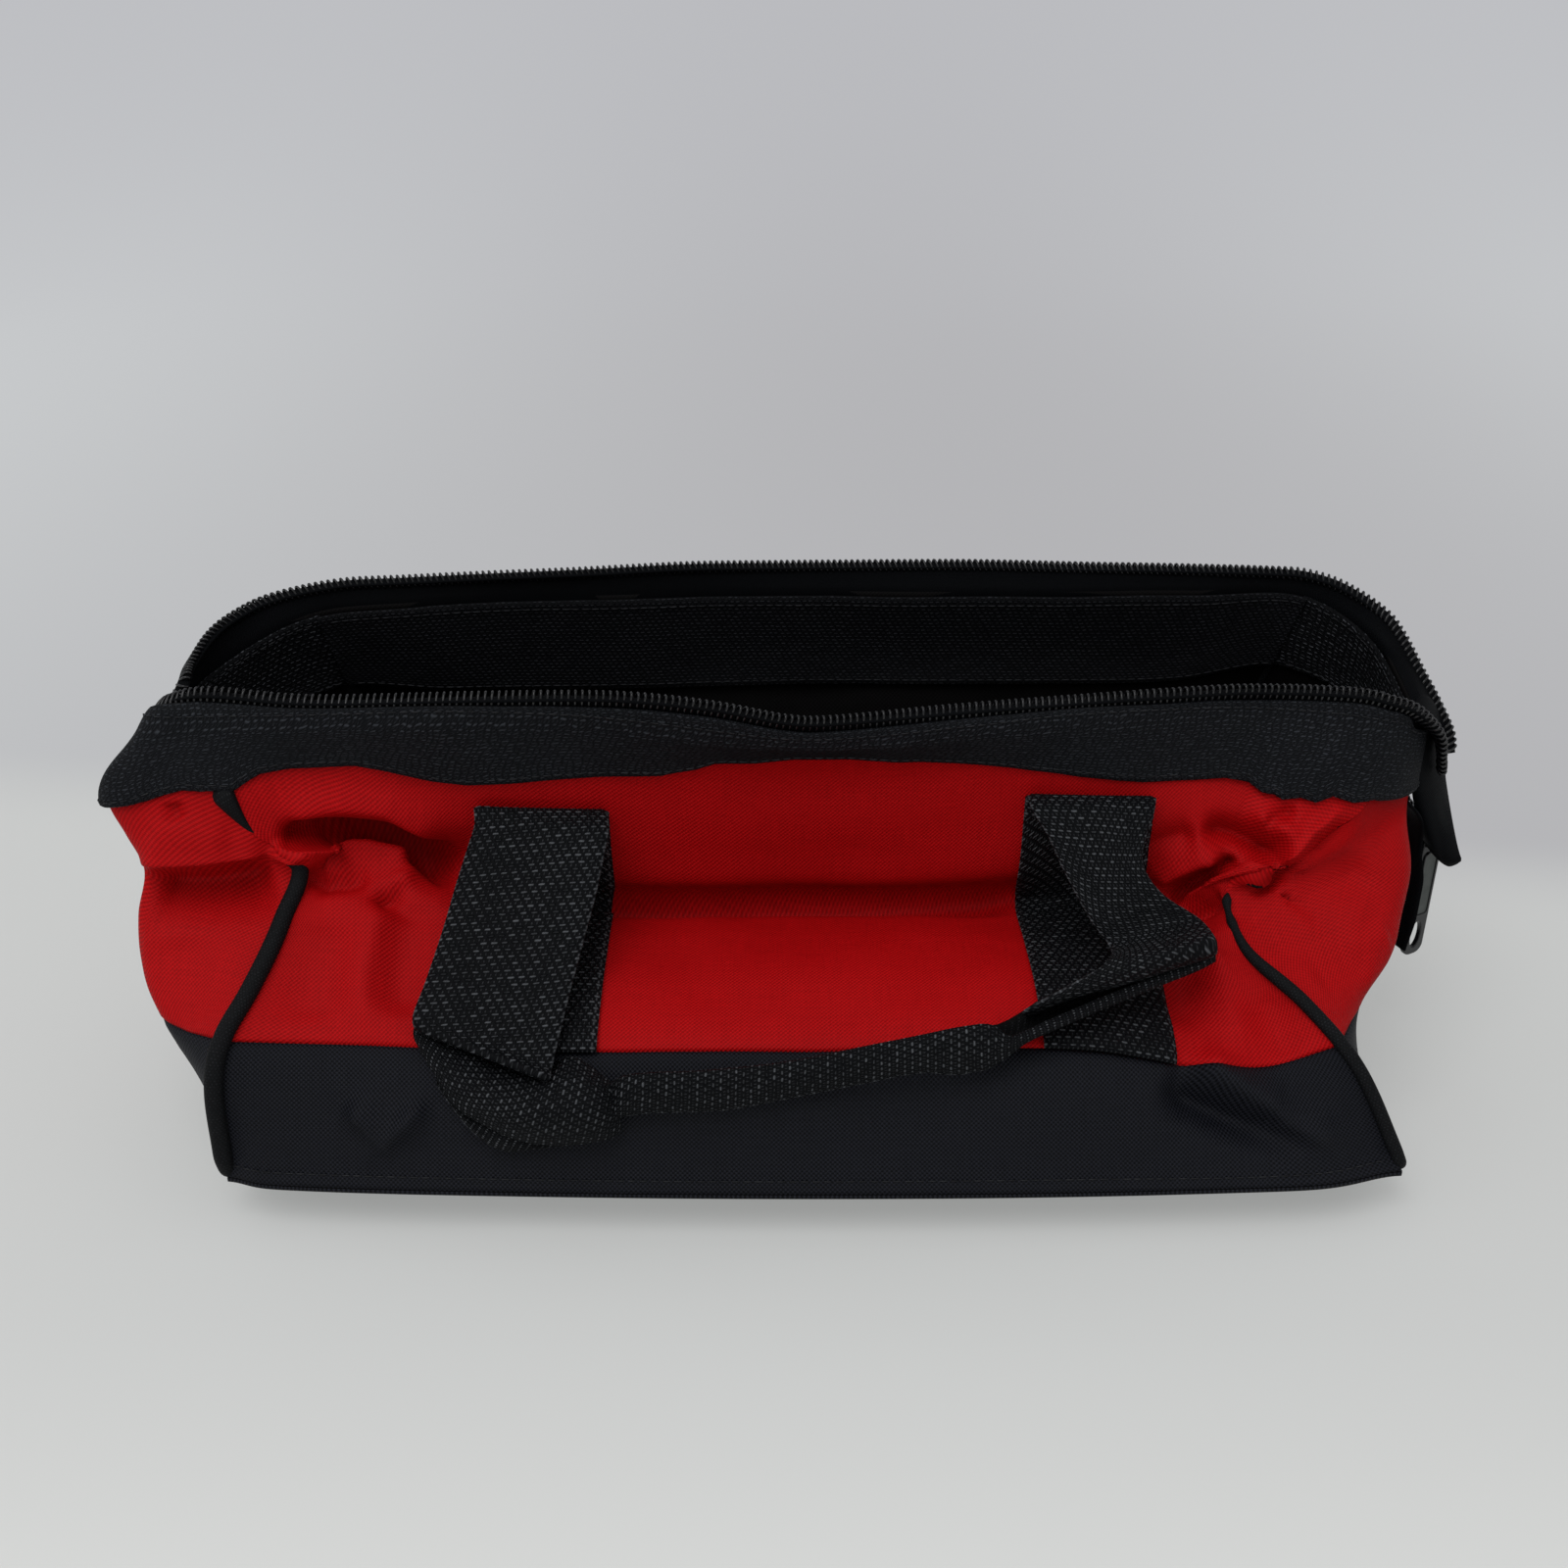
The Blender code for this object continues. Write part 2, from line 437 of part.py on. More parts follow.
def handle_grid(table, rows, outward, ends, across_ends):
    """The handle's two faces: a webbing strip that folds lengthwise where its fold share says so."""
    table = np.asarray(table, float).copy()
    table[0, :3], table[-1, :3] = ends[0] / SIZE, ends[1] / SIZE
    table[:2, 3:6], table[-2:, 3:6] = across_ends[0], -across_ends[1]
    places = np.linspace(0, len(table) - 1, rows)
    read = box_blend(table, places)
    centre = read[:, :3] * SIZE
    along = np.gradient(centre, axis=0)
    outer, inner = np.zeros((rows, 5, 3)), np.zeros((rows, 5, 3))
    for i in range(rows):
        direction = unit(along[i])
        across = read[i, 3:6]
        across = unit(across - direction * across.dot(direction))
        normal = np.cross(across, direction) * outward
        half = STRAP_WIDTH / 2 * min(max(read[i, 6], 0), 1)
        turn = min(max(read[i, 7], 0), 1) * math.pi / 2
        flat_gap = GRIP_GAP / 2 * math.sin(turn)
        for j, side in enumerate((-1, -0.5, 0, 0.5, 1)):
            reach = abs(side) * half
            spread = across * (math.copysign(reach * math.cos(turn) + flat_gap, side) if side else 0)
            rise = normal * reach * math.sin(turn)
            inner[i, j] = centre[i] + spread - rise
            face = normal * math.cos(turn) + across * math.copysign(math.sin(turn), side) if side else normal
            outer[i, j] = inner[i, j] + face * STRAP_THICK
    return outer, inner


def ribbon(name, colour, roughness, rows, thick, origin=(0, 0, 0)):
    """A strip given as a grid of middle points, thickened both ways."""
    grid = np.asarray(rows, float)
    along, across = np.gradient(grid, axis=0), np.gradient(grid, axis=1)
    normal = np.cross(along, across)
    normal /= np.linalg.norm(normal, axis=2)[:, :, None]
    return slab(name, colour, roughness, grid + normal * thick / 2, grid - normal * thick / 2, origin)


# Clear the scene
for old in list(bpy.data.objects):
    bpy.data.objects.remove(old, do_unlink=True)

RED, BLACK = (0.45, 0.004, 0.004), (0.012, 0.013, 0.015)
WEB, CORD = (0.02, 0.022, 0.025), (0.015, 0.016, 0.018)
METAL, BOARD = (0.25, 0.26, 0.27), (0.03, 0.028, 0.026)
SEAM_TRIM = PIPING_RADIUS + SEAM_GAP * 2
HALF_GAP = SEAM_GAP / 2
SIDE_NAMES = ("front", "right_end", "rear", "left_end")


def build_panels():
    """The kick band and the red upper wall of each side, and the base."""
    for side, name in enumerate(SIDE_NAMES):
        first, last = CORNERS[side], CORNERS[side + 1]
        foot = SEAM_TRIM if side % 2 else 0
        kick_trims = (SEAM_TRIM, SEAM_TRIM, foot, HALF_GAP)
        wall_patch(name + "_kick_panel", BLACK, 0.7, first, last, 0, 1, kick_trims, 0, FABRIC)
        panel_trims = (SEAM_TRIM, SEAM_TRIM, HALF_GAP, TAPE_TUCK + SEAM_GAP)
        wall_patch(name + "_panel", RED, 0.6, first, last, 1, LEVELS - 1, panel_trims, 0, FABRIC)
    outline = base_outline(FABRIC + SEAM_GAP, SEAM_TRIM)
    prism("base_panel", BLACK, 0.7, outline, 0, BASE_FABRIC)
    outline = base_outline(BOARD_INSET, BOARD_INSET)
    low = BASE_FABRIC + SEAM_GAP
    prism("base_board", BOARD, 0.5, outline, low, low + BOARD_THICK)


def build_piping():
    """One cord up the front seam, across the base's end and up the rear seam, on each end."""
    steps = 22
    top = LEVELS - 2
    seams = (("right_piping", CORNERS[1], CORNERS[2]), ("left_piping", CORNERS[0], CORNERS[3]))
    for name, front, rear in seams:
        front_line = [wall_at(front, top * (1 - i / steps) * 0.985) for i in range(steps)]
        rear_line = [wall_at(rear, top * (i + 1) / steps * 0.985) for i in range(steps)]
        ends = wall_at(front, 0), wall_at(rear, 0)
        rise = np.array((0, 0, PIPING_RADIUS + SEAM_GAP - ends[0][2]))
        across = [ends[0] + (ends[1] - ends[0]) * t + rise for t in np.linspace(0, 1, 9)]
        tube(name, CORD, 0.6, front_line + across + rear_line, PIPING_RADIUS, 8, 1.0, (1, 0, 0))


def build_bands():
    """The webbing that binds the mouth, outside and inside."""
    top = LEVELS - 1
    lift = SEAM_GAP * 2 + BAND_THICK
    left, right = CORNERS[3] + 2 - COLUMNS, CORNERS[2] - 2
    ends = (HALF_GAP, HALF_GAP, 0, 0)
    wall_patch("mouth_band_front", WEB, 0.75, left, right, top - 1, top, ends, lift, BAND_THICK)
    wall_patch("mouth_band_rear", WEB, 0.75, right, COLUMNS + left, top - 1, top, ends, lift, BAND_THICK)
    inner = -FABRIC - SEAM_GAP * 2
    trim = FABRIC + BAND_THICK + SEAM_GAP * 4
    for side, name in enumerate(SIDE_NAMES):
        first, last = CORNERS[side], CORNERS[side + 1]
        low = top - 1 - LEVEL_SHARE
        trims = (trim, trim, 0, 0)
        wall_patch("inner_band_" + name, WEB, 0.75, first, last, low, top, trims, inner, BAND_THICK)


def build_zipper(name, table, leave, gone):
    """One side of the zipper: the tape that stands up from the band, and the coil along its edge."""
    fine = box_blend(table, np.linspace(0, len(table) - 1, len(table) * 12))
    if fine[0, 3] > fine[-1, 3]:
        fine = fine[::-1]
    along = np.maximum.accumulate(fine[:, 3])
    places = grid_lines(along[0], along[-1], PLACE_SHARE)
    coil = np.array([[np.interp(place, along, fine[:, k]) for k in range(3)] for place in places]) * SIZE
    tube("zip_coil_" + name, CORD, 0.35, coil, COIL_RADIUS, 8)
    grid = []
    for point, place in zip(coil, places):
        out = outward_at(place, LEVELS - 1)
        rim = wall_at(place, LEVELS - 1)
        fold = min(max((place - leave) / (gone - leave), 0), 1)
        foot_level = trimmed_level(place, LEVELS - 1, -TAPE_TUCK)
        foot = facet_at(place, foot_level) - out * TAPE_DEPTH_SHARE * FABRIC
        over = rim - out * TAPE_DEPTH_SHARE * FABRIC + np.array((0, 0, SEAM_GAP + TAPE_THICK))
        rise, lean = min(2 * fold, 1), max(2 * fold - 1, 0)
        foot = foot * (1 - rise) + over * rise
        crest = over + lean * out * (FABRIC + BAND_THICK * 2) + rise * np.array((0, 0, TAPE_THICK))
        crest = crest + (1 - fold) * np.array((0, 0, SEAM_GAP))
        edge = point + unit(crest - point) * (COIL_RADIUS + SEAM_GAP * 2.5 + TAPE_THICK * fold * 1.8)
        grid.append((foot, crest, edge))
    return ribbon("zip_tape_" + name, BLACK, 0.7, grid, TAPE_THICK)


def build_tail():
    """The zipper's parked end: its tail, closed end, slider and pull."""
    rows = []
    for front, fold, rear in TAIL_SHARES:
        front, fold, rear = (np.array(p) * SIZE for p in (front, fold, rear))
        rows.append([front, (front + fold) / 2, fold, (fold + rear) / 2, rear])
    ribbon("zip_tail", BLACK, 0.7, rows, TAPE_THICK)

    middle = box_blend(TAIL_END_SHARES, np.linspace(0, len(TAIL_END_SHARES) - 1, 9)) * SIZE[[0, 2]]
    y = TAIL_Y_SHARE * HALF_DEPTH

    def strip(name, colour, width, thick, lift, first=0, last=9):
        along = np.gradient(middle, axis=0)
        outer, inner = np.zeros((last - first, 3, 3)), np.zeros((last - first, 3, 3))
        for i in range(first, last):
            direction = unit(along[i])
            out = np.array((abs(direction[1]), 0, -math.copysign(direction[0], direction[1])))
            for j, side in enumerate((-1, 0, 1)):
                point = np.array((middle[i][0], y + side * width / 2, middle[i][1]))
                outer[i - first, j] = point + out * (lift + thick)
                inner[i - first, j] = point + out * lift
        return slab(name, colour, 0.6, outer, inner)

    strip("zip_end_tape", BLACK, TAIL_WIDTH, TAIL_THICK, 0)
    lift = TAIL_THICK + SEAM_GAP
    strip("zip_end_coil", CORD, TAIL_COIL_WIDTH, TAIL_COIL_THICK, lift, 1, 8)
    foot = middle[-1]
    stop_x = foot[0] + lift
    stop_low = foot[1] + SEAM_GAP
    xs, zs = (stop_x, stop_x + TAIL_COIL_THICK), (stop_low, stop_low + STOP_HEIGHT / 2)
    box("zip_end_stop", METAL, 0.4, xs, (y - TAIL_COIL_WIDTH, y + TAIL_COIL_WIDTH), zs)
    return middle, y, lift + TAIL_COIL_THICK + SEAM_GAP


def box(name, colour, roughness, xs, ys, zs, origin=(0, 0, 0)):
    """A plain box between the given limits."""
    points = [np.array((x, y, z)) for x in xs for y in ys for z in zs]
    faces = [(0, 1, 3, 2), (4, 6, 7, 5), (0, 4, 5, 1), (2, 3, 7, 6), (0, 2, 6, 4), (1, 5, 7, 3)]
    return make(name, colour, roughness, points, faces, origin)


def extrude_y(name, colour, roughness, outline, y0, y1, origin=(0, 0, 0), holes=None):
    """An outline of x and z points, with an optional hole of as many points, carried from y0 to y1."""
    count = len(outline)
    rings = [outline] if holes is None else [outline, holes]
    points = [np.array((x, y, z)) for ring in rings for y in (y0, y1) for x, z in ring]
    faces = []
    for k in range(count):
        n = (k + 1) % count
        faces.append((k, n, count + n, count + k))
        if holes is not None:
            a = 2 * count
            faces.append((a + k, a + count + k, a + count + n, a + n))
            faces.append((k, a + k, a + n, n))
            faces.append((count + k, count + n, a + count + n, a + count + k))
    if holes is None:
        faces += [tuple(range(count)), tuple(range(count, 2 * count))[::-1]]
    return make(name, colour, roughness, points, faces, origin)


def build_slider(middle, y, lift):
    """The slider on the zipper's closed end, with the hoop that its pull swings on."""
    place = SLIDER_PLACE_SHARE * (len(middle) - 1)
    low = int(place)
    spot = middle[low] + (middle[low + 1] - middle[low]) * (place - low)
    x0, z = spot[0] + lift + SEAM_GAP, spot[1]
    x1 = x0 + SLIDER_THICK
    chamfer = SLIDER_THICK / 4
    half = SLIDER_LENGTH / 2
    body = [(x0, z - half), (x1 - chamfer, z - half), (x1, z - half + chamfer), (x1, z + half - chamfer),
            (x1 - chamfer, z + half), (x0, z + half)]
    y0, y1 = y - SLIDER_WIDTH / 2, y + SLIDER_WIDTH / 2
    slider = extrude_y("zip_slider", METAL, 0.35, body, y0, y1, (x0, y, z))
    hx0, hx1, hz = x1 - HOOP_BAR, x1 + HOOP_HEIGHT, HOOP_LENGTH / 2
    outer = [(hx0, z - hz), (hx1, z - hz), (hx1, z + hz), (hx0, z + hz)]
    hole = [(x1 - HOOP_BAR / 2, z - hz + HOOP_BAR), (hx1 - HOOP_BAR, z - hz + HOOP_BAR),
            (hx1 - HOOP_BAR, z + hz - HOOP_BAR), (x1 - HOOP_BAR / 2, z + hz - HOOP_BAR)]
    y0, y1 = y - HOOP_WIDTH / 2, y + HOOP_WIDTH / 2
    hoop = extrude_y("hoop_cutter", METAL, 0.35, outer, y0, y1, (0, 0, 0), hole)
    hoop.hide_render = True
    hoop.display_type = "WIRE"
    join = slider.modifiers.new("hoop", "BOOLEAN")
    join.operation, join.solver, join.object = "UNION", "EXACT", hoop

    # The pull hangs in the hoop: a flat bar with a slot at its top, and a round hole near its foot
    bar_x, bar_z = (x1 + hx1 - HOOP_BAR) / 2, z - hz + HOOP_BAR + (HOOP_LENGTH - 2 * HOOP_BAR) / 3
    top = bar_z + HOOP_BAR * 0.45
    pull_x0, pull_x1 = bar_x - HOOP_BAR * 0.45, bar_x + HOOP_BAR * 0.45
    build_pull(y, top, pull_x0, pull_x1, (bar_x, y, bar_z))


def build_pull(y, top, x0, x1, pivot):
    """The pull: its top bar passes through the slider's hoop, and its blade thickens below."""
    half = PULL_WIDTH / 2
    thick = x1 - x0
    slot_top, slot_low = top - thick, top - thick - PULL_SLOT * 2.2
    foot = top - PULL_LENGTH
    shoulder = foot + half * 0.5
    outline = [(-half, slot_low), (-half, top), (half, top), (half, slot_low)]
    outline += [(half * 0.9, shoulder), (half * 0.5, foot), (-half * 0.5, foot), (-half * 0.9, shoulder)]
    slot = PULL_SLOT / 2
    bend, end = slot_low - slot, slot_low - slot * 1.3
    inner = [(-slot, slot_low), (-slot, slot_top), (slot, slot_top), (slot, slot_low)]
    inner += [(slot * 0.9, bend), (slot * 0.5, end), (-slot * 0.5, end), (-slot * 0.9, bend)]
    count = len(outline)
    points = [np.array((x, y + a, b)) for ring in (outline, inner) for x in (x0, x1) for a, b in ring]
    faces = []
    for k in range(count):
        n = (k + 1) % count
        a = 2 * count
        faces += [(k, n, count + n, count + k), (a + k, a + count + k, a + count + n, a + n),
                  (k, a + k, a + n, n), (count + k, count + n, a + count + n, a + count + k)]
    make("zip_pull", METAL, 0.35, points, faces, pivot)


def strap_edge_place(x, level, first, last):
    """The place on one wall whose x is the one asked for."""
    low, high = first, last
    rising = wall_at(last, level)[0] > wall_at(first, level)[0]
    for _ in range(30):
        mid = (low + high) / 2
        if (wall_at(mid, level)[0] < x) == rising:
            low = mid
        else:
            high = mid
    return (low + high) / 2


def strap_point(side, x, level, lift):
    """A point the given height off one wall, at the given x and level."""
    place = strap_edge_place(x, level, CORNERS[side] + 0.1, CORNERS[side + 1] - 0.1)
    return facet_at(place, level) + outward_at(place, level) * lift


def build_strap(name, side, x, top):
    """A webbing strap sewn flat to the wall, from the kick band's seam up to the handle's fold."""
    levels = grid_lines(STRAP_FOOT_SHARE, top, LEVEL_SHARE)
    turn = 1 if side == 0 else -1
    xs = [x + turn * share * STRAP_WIDTH for share in (-0.5, -0.25, 0, 0.25, 0.5)]
    face = STRAP_LIFT + STRAP_THICK
    outer = np.array([[strap_point(side, at, level, face) for level in levels] for at in xs])
    inner = np.array([[strap_point(side, at, level, STRAP_LIFT) for level in levels] for at in xs])
    slab(name, WEB, 0.75, outer, inner)


def build_handles():
    """The four fixed straps and the two hanging handles."""
    rear_x = REAR_STRAP_X_SHARE
    front = ("front", 0, STRAP_X_SHARES, FRONT_HANDLE_SHARES, -1)
    rear = ("rear", 2, (-rear_x, rear_x), REAR_HANDLE_SHARES, 1)
    for name, side, xs, table, outward in (front, rear):
        lift = STRAP_LIFT + STRAP_THICK + SEAM_GAP * 7
        tops = STRAP_TOP_SHARES if side == 0 else (STRAP_TOP_SHARES[0],) * 2
        for x, top, end in zip(xs, tops, ("left", "right")):
            build_strap(name + "_strap_" + end, side, x * HALF_SPAN, top)
        folds = [(x * HALF_SPAN, top - HANDLE_FOLD_SHARE) for x, top in zip(xs, tops)]
        ends = [strap_point(side, x, level, lift) for x, level in folds]
        sides = [[strap_point(side, x + half, level, lift) for x, level in folds]
                 for half in (-STRAP_WIDTH / 2, STRAP_WIDTH / 2)]
        across = [unit(right - left) for left, right in zip(*sides)]
        outer, inner = handle_grid(table, 45, outward, ends, across)
        pivot = (ends[0] + ends[1]) / 2 + np.array((0, outward, 1)) * FOLD_RADIUS
        slab(name + "_handle", WEB, 0.75, outer, inner, pivot)


build_panels()
build_piping()
build_bands()
build_zipper("front", FRONT_COIL_SHARES, TAPE_FOLD_SHARES[0], TAPE_FOLD_SHARES[1])
build_zipper("rear", REAR_COIL_SHARES, TAPE_FOLD_SHARES[2], TAPE_FOLD_SHARES[3])
build_slider(*build_tail())
build_handles()
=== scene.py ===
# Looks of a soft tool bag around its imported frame: fine fabric, webbing, zipper and metal pieces.

import math

import bpy
import numpy as np
from mathutils import Matrix, Vector


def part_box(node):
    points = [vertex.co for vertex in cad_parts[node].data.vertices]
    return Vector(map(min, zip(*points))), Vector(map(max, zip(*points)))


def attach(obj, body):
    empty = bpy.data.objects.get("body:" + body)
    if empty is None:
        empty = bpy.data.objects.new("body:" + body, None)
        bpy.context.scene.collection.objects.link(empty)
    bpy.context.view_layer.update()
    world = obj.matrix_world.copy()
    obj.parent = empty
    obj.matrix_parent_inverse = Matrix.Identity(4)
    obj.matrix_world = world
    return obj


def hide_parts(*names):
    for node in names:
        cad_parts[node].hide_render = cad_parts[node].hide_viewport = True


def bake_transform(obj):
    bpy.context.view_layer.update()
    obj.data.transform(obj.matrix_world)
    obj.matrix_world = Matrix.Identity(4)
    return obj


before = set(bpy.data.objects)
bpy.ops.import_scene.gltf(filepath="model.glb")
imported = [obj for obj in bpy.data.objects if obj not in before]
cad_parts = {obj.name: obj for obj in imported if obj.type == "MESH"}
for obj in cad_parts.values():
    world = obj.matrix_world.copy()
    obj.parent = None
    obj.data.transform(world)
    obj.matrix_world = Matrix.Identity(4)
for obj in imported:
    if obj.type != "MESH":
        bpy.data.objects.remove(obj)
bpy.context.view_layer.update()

# Sizes of the part's source, in metres
HALF_SPAN, HALF_DEPTH, SIDE_HEIGHT = 0.200, 0.100, 0.100
STRAP_WIDTH = 0.038
WEB_THICK = 0.0016
FABRIC = 0.0007
PIPING_RADIUS = 0.0024
COIL_PITCH = 0.00195
COIL_STEPS = 14
MM = 0.001
# The wall, as columns of eight level points walking round the bag, in thousandths of the three sizes above.
# The levels go base edge, kick band top, low red, below the crease, crease, above it, band bottom, rim.
FRONT_SHARES = (
    ((-825, -990, 20), (-815, -880, 420), (-790, -760, 500), (-760, -580, 630),
     (-745, -460, 750), (-800, -480, 860), (-840, -480, 1000), (-885, -410, 1160)),
    ((-680, -1010, 20), (-680, -850, 390), (-690, -700, 500), (-705, -540, 660),
     (-710, -370, 780), (-705, -410, 870), (-700, -420, 1000), (-700, -420, 1180)),
    ((-395, -1030, 20), (-395, -870, 380), (-395, -690, 470), (-395, -500, 530),
     (-395, -330, 580), (-395, -360, 800), (-395, -370, 980), (-395, -390, 1180)),
    ((0, -1040, 20), (0, -870, 380), (0, -640, 440), (0, -380, 455),
     (0, -170, 470), (0, -210, 700), (0, -240, 960), (0, -290, 1060)),
    ((390, -1030, 20), (385, -850, 370), (395, -650, 440), (395, -450, 470),
     (400, -250, 500), (410, -280, 730), (410, -270, 950), (405, -260, 1120)),
    ((640, -1010, 20), (640, -820, 290), (630, -660, 400), (600, -500, 500),
     (600, -340, 580), (635, -330, 750), (650, -260, 920), (650, -190, 1120)),
    ((835, -990, 20), (745, -800, 350), (700, -720, 435), (625, -520, 530),
     (620, -400, 610), (750, -380, 740), (830, -300, 880), (870, -170, 1060)),
)
RIGHT_SHARES = (
    FRONT_SHARES[-1],
    ((835, -600, 20), (820, -550, 340), (855, -500, 440), (880, -420, 540),
     (905, -320, 660), (900, -260, 790), (920, -140, 860), (930, -90, 1030)),
    ((835, 0, 20), (860, 0, 340), (885, 0, 460), (900, -20, 560),
     (900, -30, 670), (895, 20, 800), (915, 50, 910), (935, 60, 1070)),
    ((835, 550, 20), (860, 480, 360), (890, 420, 500), (900, 380, 620),
     (890, 340, 740), (890, 330, 900), (900, 310, 1030), (905, 270, 1200)),
    ((835, 990, 20), (810, 880, 380), (785, 800, 520), (770, 720, 660),
     (760, 600, 800), (780, 540, 940), (800, 480, 1100), (825, 430, 1280)),
)
REAR_SHARES = (
    RIGHT_SHARES[-1],
    ((640, 1010, 20), (630, 910, 380), (620, 760, 520), (610, 620, 610),
     (610, 520, 700), (620, 520, 860), (630, 520, 1040), (640, 480, 1280)),
    ((390, 1020, 20), (390, 920, 380), (390, 740, 500), (390, 560, 580),
     (390, 470, 660), (390, 520, 840), (390, 530, 1030), (390, 490, 1270)),
    ((0, 1030, 20), (0, 930, 380), (0, 740, 500), (0, 550, 570),
     (0, 460, 650), (0, 520, 830), (0, 540, 1030), (0, 500, 1270)),
    ((-390, 1020, 20), (-390, 920, 380), (-390, 740, 500), (-390, 540, 570),
     (-390, 450, 640), (-390, 490, 830), (-390, 480, 1040), (-390, 450, 1270)),
    ((-640, 1010, 20), (-630, 900, 380), (-620, 740, 520), (-600, 580, 610),
     (-595, 480, 700), (-610, 450, 870), (-620, 400, 1060), (-630, 360, 1280)),
    ((-835, 990, 20), (-800, 880, 380), (-775, 760, 540), (-760, 620, 670),
     (-750, 500, 790), (-760, 400, 930), (-775, 340, 1070), (-795, 280, 1270)),
)
LEFT_SHARES = (
    REAR_SHARES[-1],
    ((-835, 500, 20), (-890, 440, 380), (-905, 360, 520), (-900, 280, 640),
     (-880, 200, 760), (-885, 150, 880), (-900, 100, 1000), (-920, 40, 1180)),
    ((-835, -200, 20), (-930, -220, 380), (-965, -200, 500), (-975, -180, 620),
     (-955, -200, 750), (-975, -240, 850), (-990, -260, 960), (-960, -250, 1130)),
    ((-835, -750, 20), (-920, -750, 390), (-960, -640, 500), (-970, -570, 620),
     (-965, -500, 760), (-985, -480, 860), (-1010, -450, 950), (-940, -400, 1150)),
    FRONT_SHARES[0],
)
# How far each level turns the seams' corners into smooth bends
CORNER_ROUND_SHARES = (0, 0, 0, 0, 0, 0.3, 1, 1)

# The two coils' middle lines: x, y and z, then the place along the rim that each point stands over, all in
# thousandths. The first point of each lies beyond the source's line, so that the two coils meet on the left.
FRONT_COIL_SHARES = (
    (-945, -245, 1150, -1970), (-945, -280, 1165, -1850), (-920, -340, 1210, -1000), (-850, -380, 1245, 150),
    (-710, -390, 1225, 950), (-485, -380, 1230, 1700), (-290, -360, 1225, 2250),
    (-150, -330, 1185, 2600), (-40, -300, 1130, 2900), (30, -285, 1120, 3070),
    (190, -260, 1140, 3450), (300, -250, 1155, 3720), (535, -210, 1175, 4500),
    (655, -190, 1180, 5000), (800, -180, 1165, 5650), (860, -180, 1140, 5950),
    (900, -170, 1110, 6300), (945, -150, 1030, 6750), (965, -120, 940, 7100),
    (975, -90, 880, 7400),
)
REAR_COIL_SHARES = (
    (-928, -235, 1175, 17970), (-920, -200, 1220, 17900), (-928, -100, 1230, 17550), (-918, 40, 1270, 17000),
    (-893, 140, 1300, 16700), (-847, 240, 1325, 16300), (-755, 320, 1345, 15800),
    (-653, 360, 1345, 15100), (-500, 410, 1345, 14450), (-360, 450, 1345, 13950),
    (-200, 490, 1350, 13500), (-40, 520, 1345, 13100), (155, 530, 1345, 12600),
    (285, 530, 1345, 12250), (450, 520, 1340, 11800), (610, 500, 1340, 11150),
    (765, 470, 1340, 10350), (815, 440, 1340, 10050), (865, 380, 1320, 9600),
    (920, 300, 1260, 9100), (945, 240, 1200, 8800), (968, 160, 1110, 8500),
    (990, 100, 1030, 8250), (1005, 50, 960, 8050), (1010, 20, 890, 7850),
)
# Where the tape leaves the band to fold outwards over the right end, in the same places along the rim
TAPE_FOLD_SHARES = (6.2, 7.0, 9.2, 8.2)
# The closed end of the zipper, hanging under the band: x and z of its middle line
TAIL_END_SHARES = ((0.9105, 0.80), (0.938, 0.73), (0.9385, 0.60), (0.9385, 0.45), (0.9385, 0.28))
TAIL_Y_SHARE = -0.04
# Half of the rear handle, from its left root to its middle: centre, direction across, width share and turn
REAR_HANDLE_SHARES = (
    (-0.40, 0.57, 0.875, 1, 0, 0, 1, 0), (-0.40, 0.64, 0.80, 1, 0, 0, 1, 0),
    (-0.40, 0.71, 0.70, 1, 0, 0, 1, 0), (-0.40, 0.80, 0.60, 1, 0, 0, 1, 0),
    (-0.40, 0.93, 0.50, 1, 0, 0, 1, 0), (-0.395, 1.03, 0.39, 0.95, 0.1, 0.1, 0.9, 0.1),
    (-0.38, 1.09, 0.28, 0.8, 0.3, 0.4, 0.75, 0.4), (-0.34, 1.15, 0.20, 0.45, 0.6, 0.5, 0.6, 0.7),
    (-0.28, 1.15, 0.17, 0.1, 0.9, 0.4, 0.6, 0.9), (-0.20, 1.11, 0.17, 0, 1, 0.2, 0.65, 1),
    (-0.10, 1.10, 0.175, 0, 1, 0.1, 0.65, 1), (0, 1.10, 0.175, 0, 1, 0.1, 0.65, 1),
)
# The right half's second row stands a little further out than the left one's
REAR_RIGHT_ROW, REAR_RIGHT_Y = -2, 0.65
STRAP_X_SHARES = (-0.395, 0.415)
REAR_STRAP_X_SHARE = 0.40
STRAP_TOP_SHARES = (5.45, 5.68)

SIZE = np.array((HALF_SPAN, HALF_DEPTH, SIDE_HEIGHT))
WALLS = [np.array(w, float) / 1000 * SIZE for w in (FRONT_SHARES, RIGHT_SHARES, REAR_SHARES, LEFT_SHARES)]
LEVELS = len(CORNER_ROUND_SHARES)
LOOP = np.concatenate([w[:-1] for w in WALLS])
CORNERS = np.cumsum([0] + [len(w) - 1 for w in WALLS])
COLUMNS = len(LOOP)

# The camera, in metres: it looks along +Y, tipped down by 25 degrees
EYE = np.array((-0.0081, -0.450, 0.289))
TIP = math.radians(25)
FOCAL = 1600
MIDDLE = 800


def ray(px, py):
    """The direction in which one pixel of the 1600 wide picture looks."""
    right, up = (px - MIDDLE) / FOCAL, (MIDDLE - py) / FOCAL
    return np.array((right, math.cos(TIP) + math.sin(TIP) * up, -math.sin(TIP) + math.cos(TIP) * up))


def at(px, py, y):
    """The point on a pixel's ray at the given distance to the rear."""
    direction = ray(px, py)
    return EYE + direction * (y - EYE[1]) / direction[1]


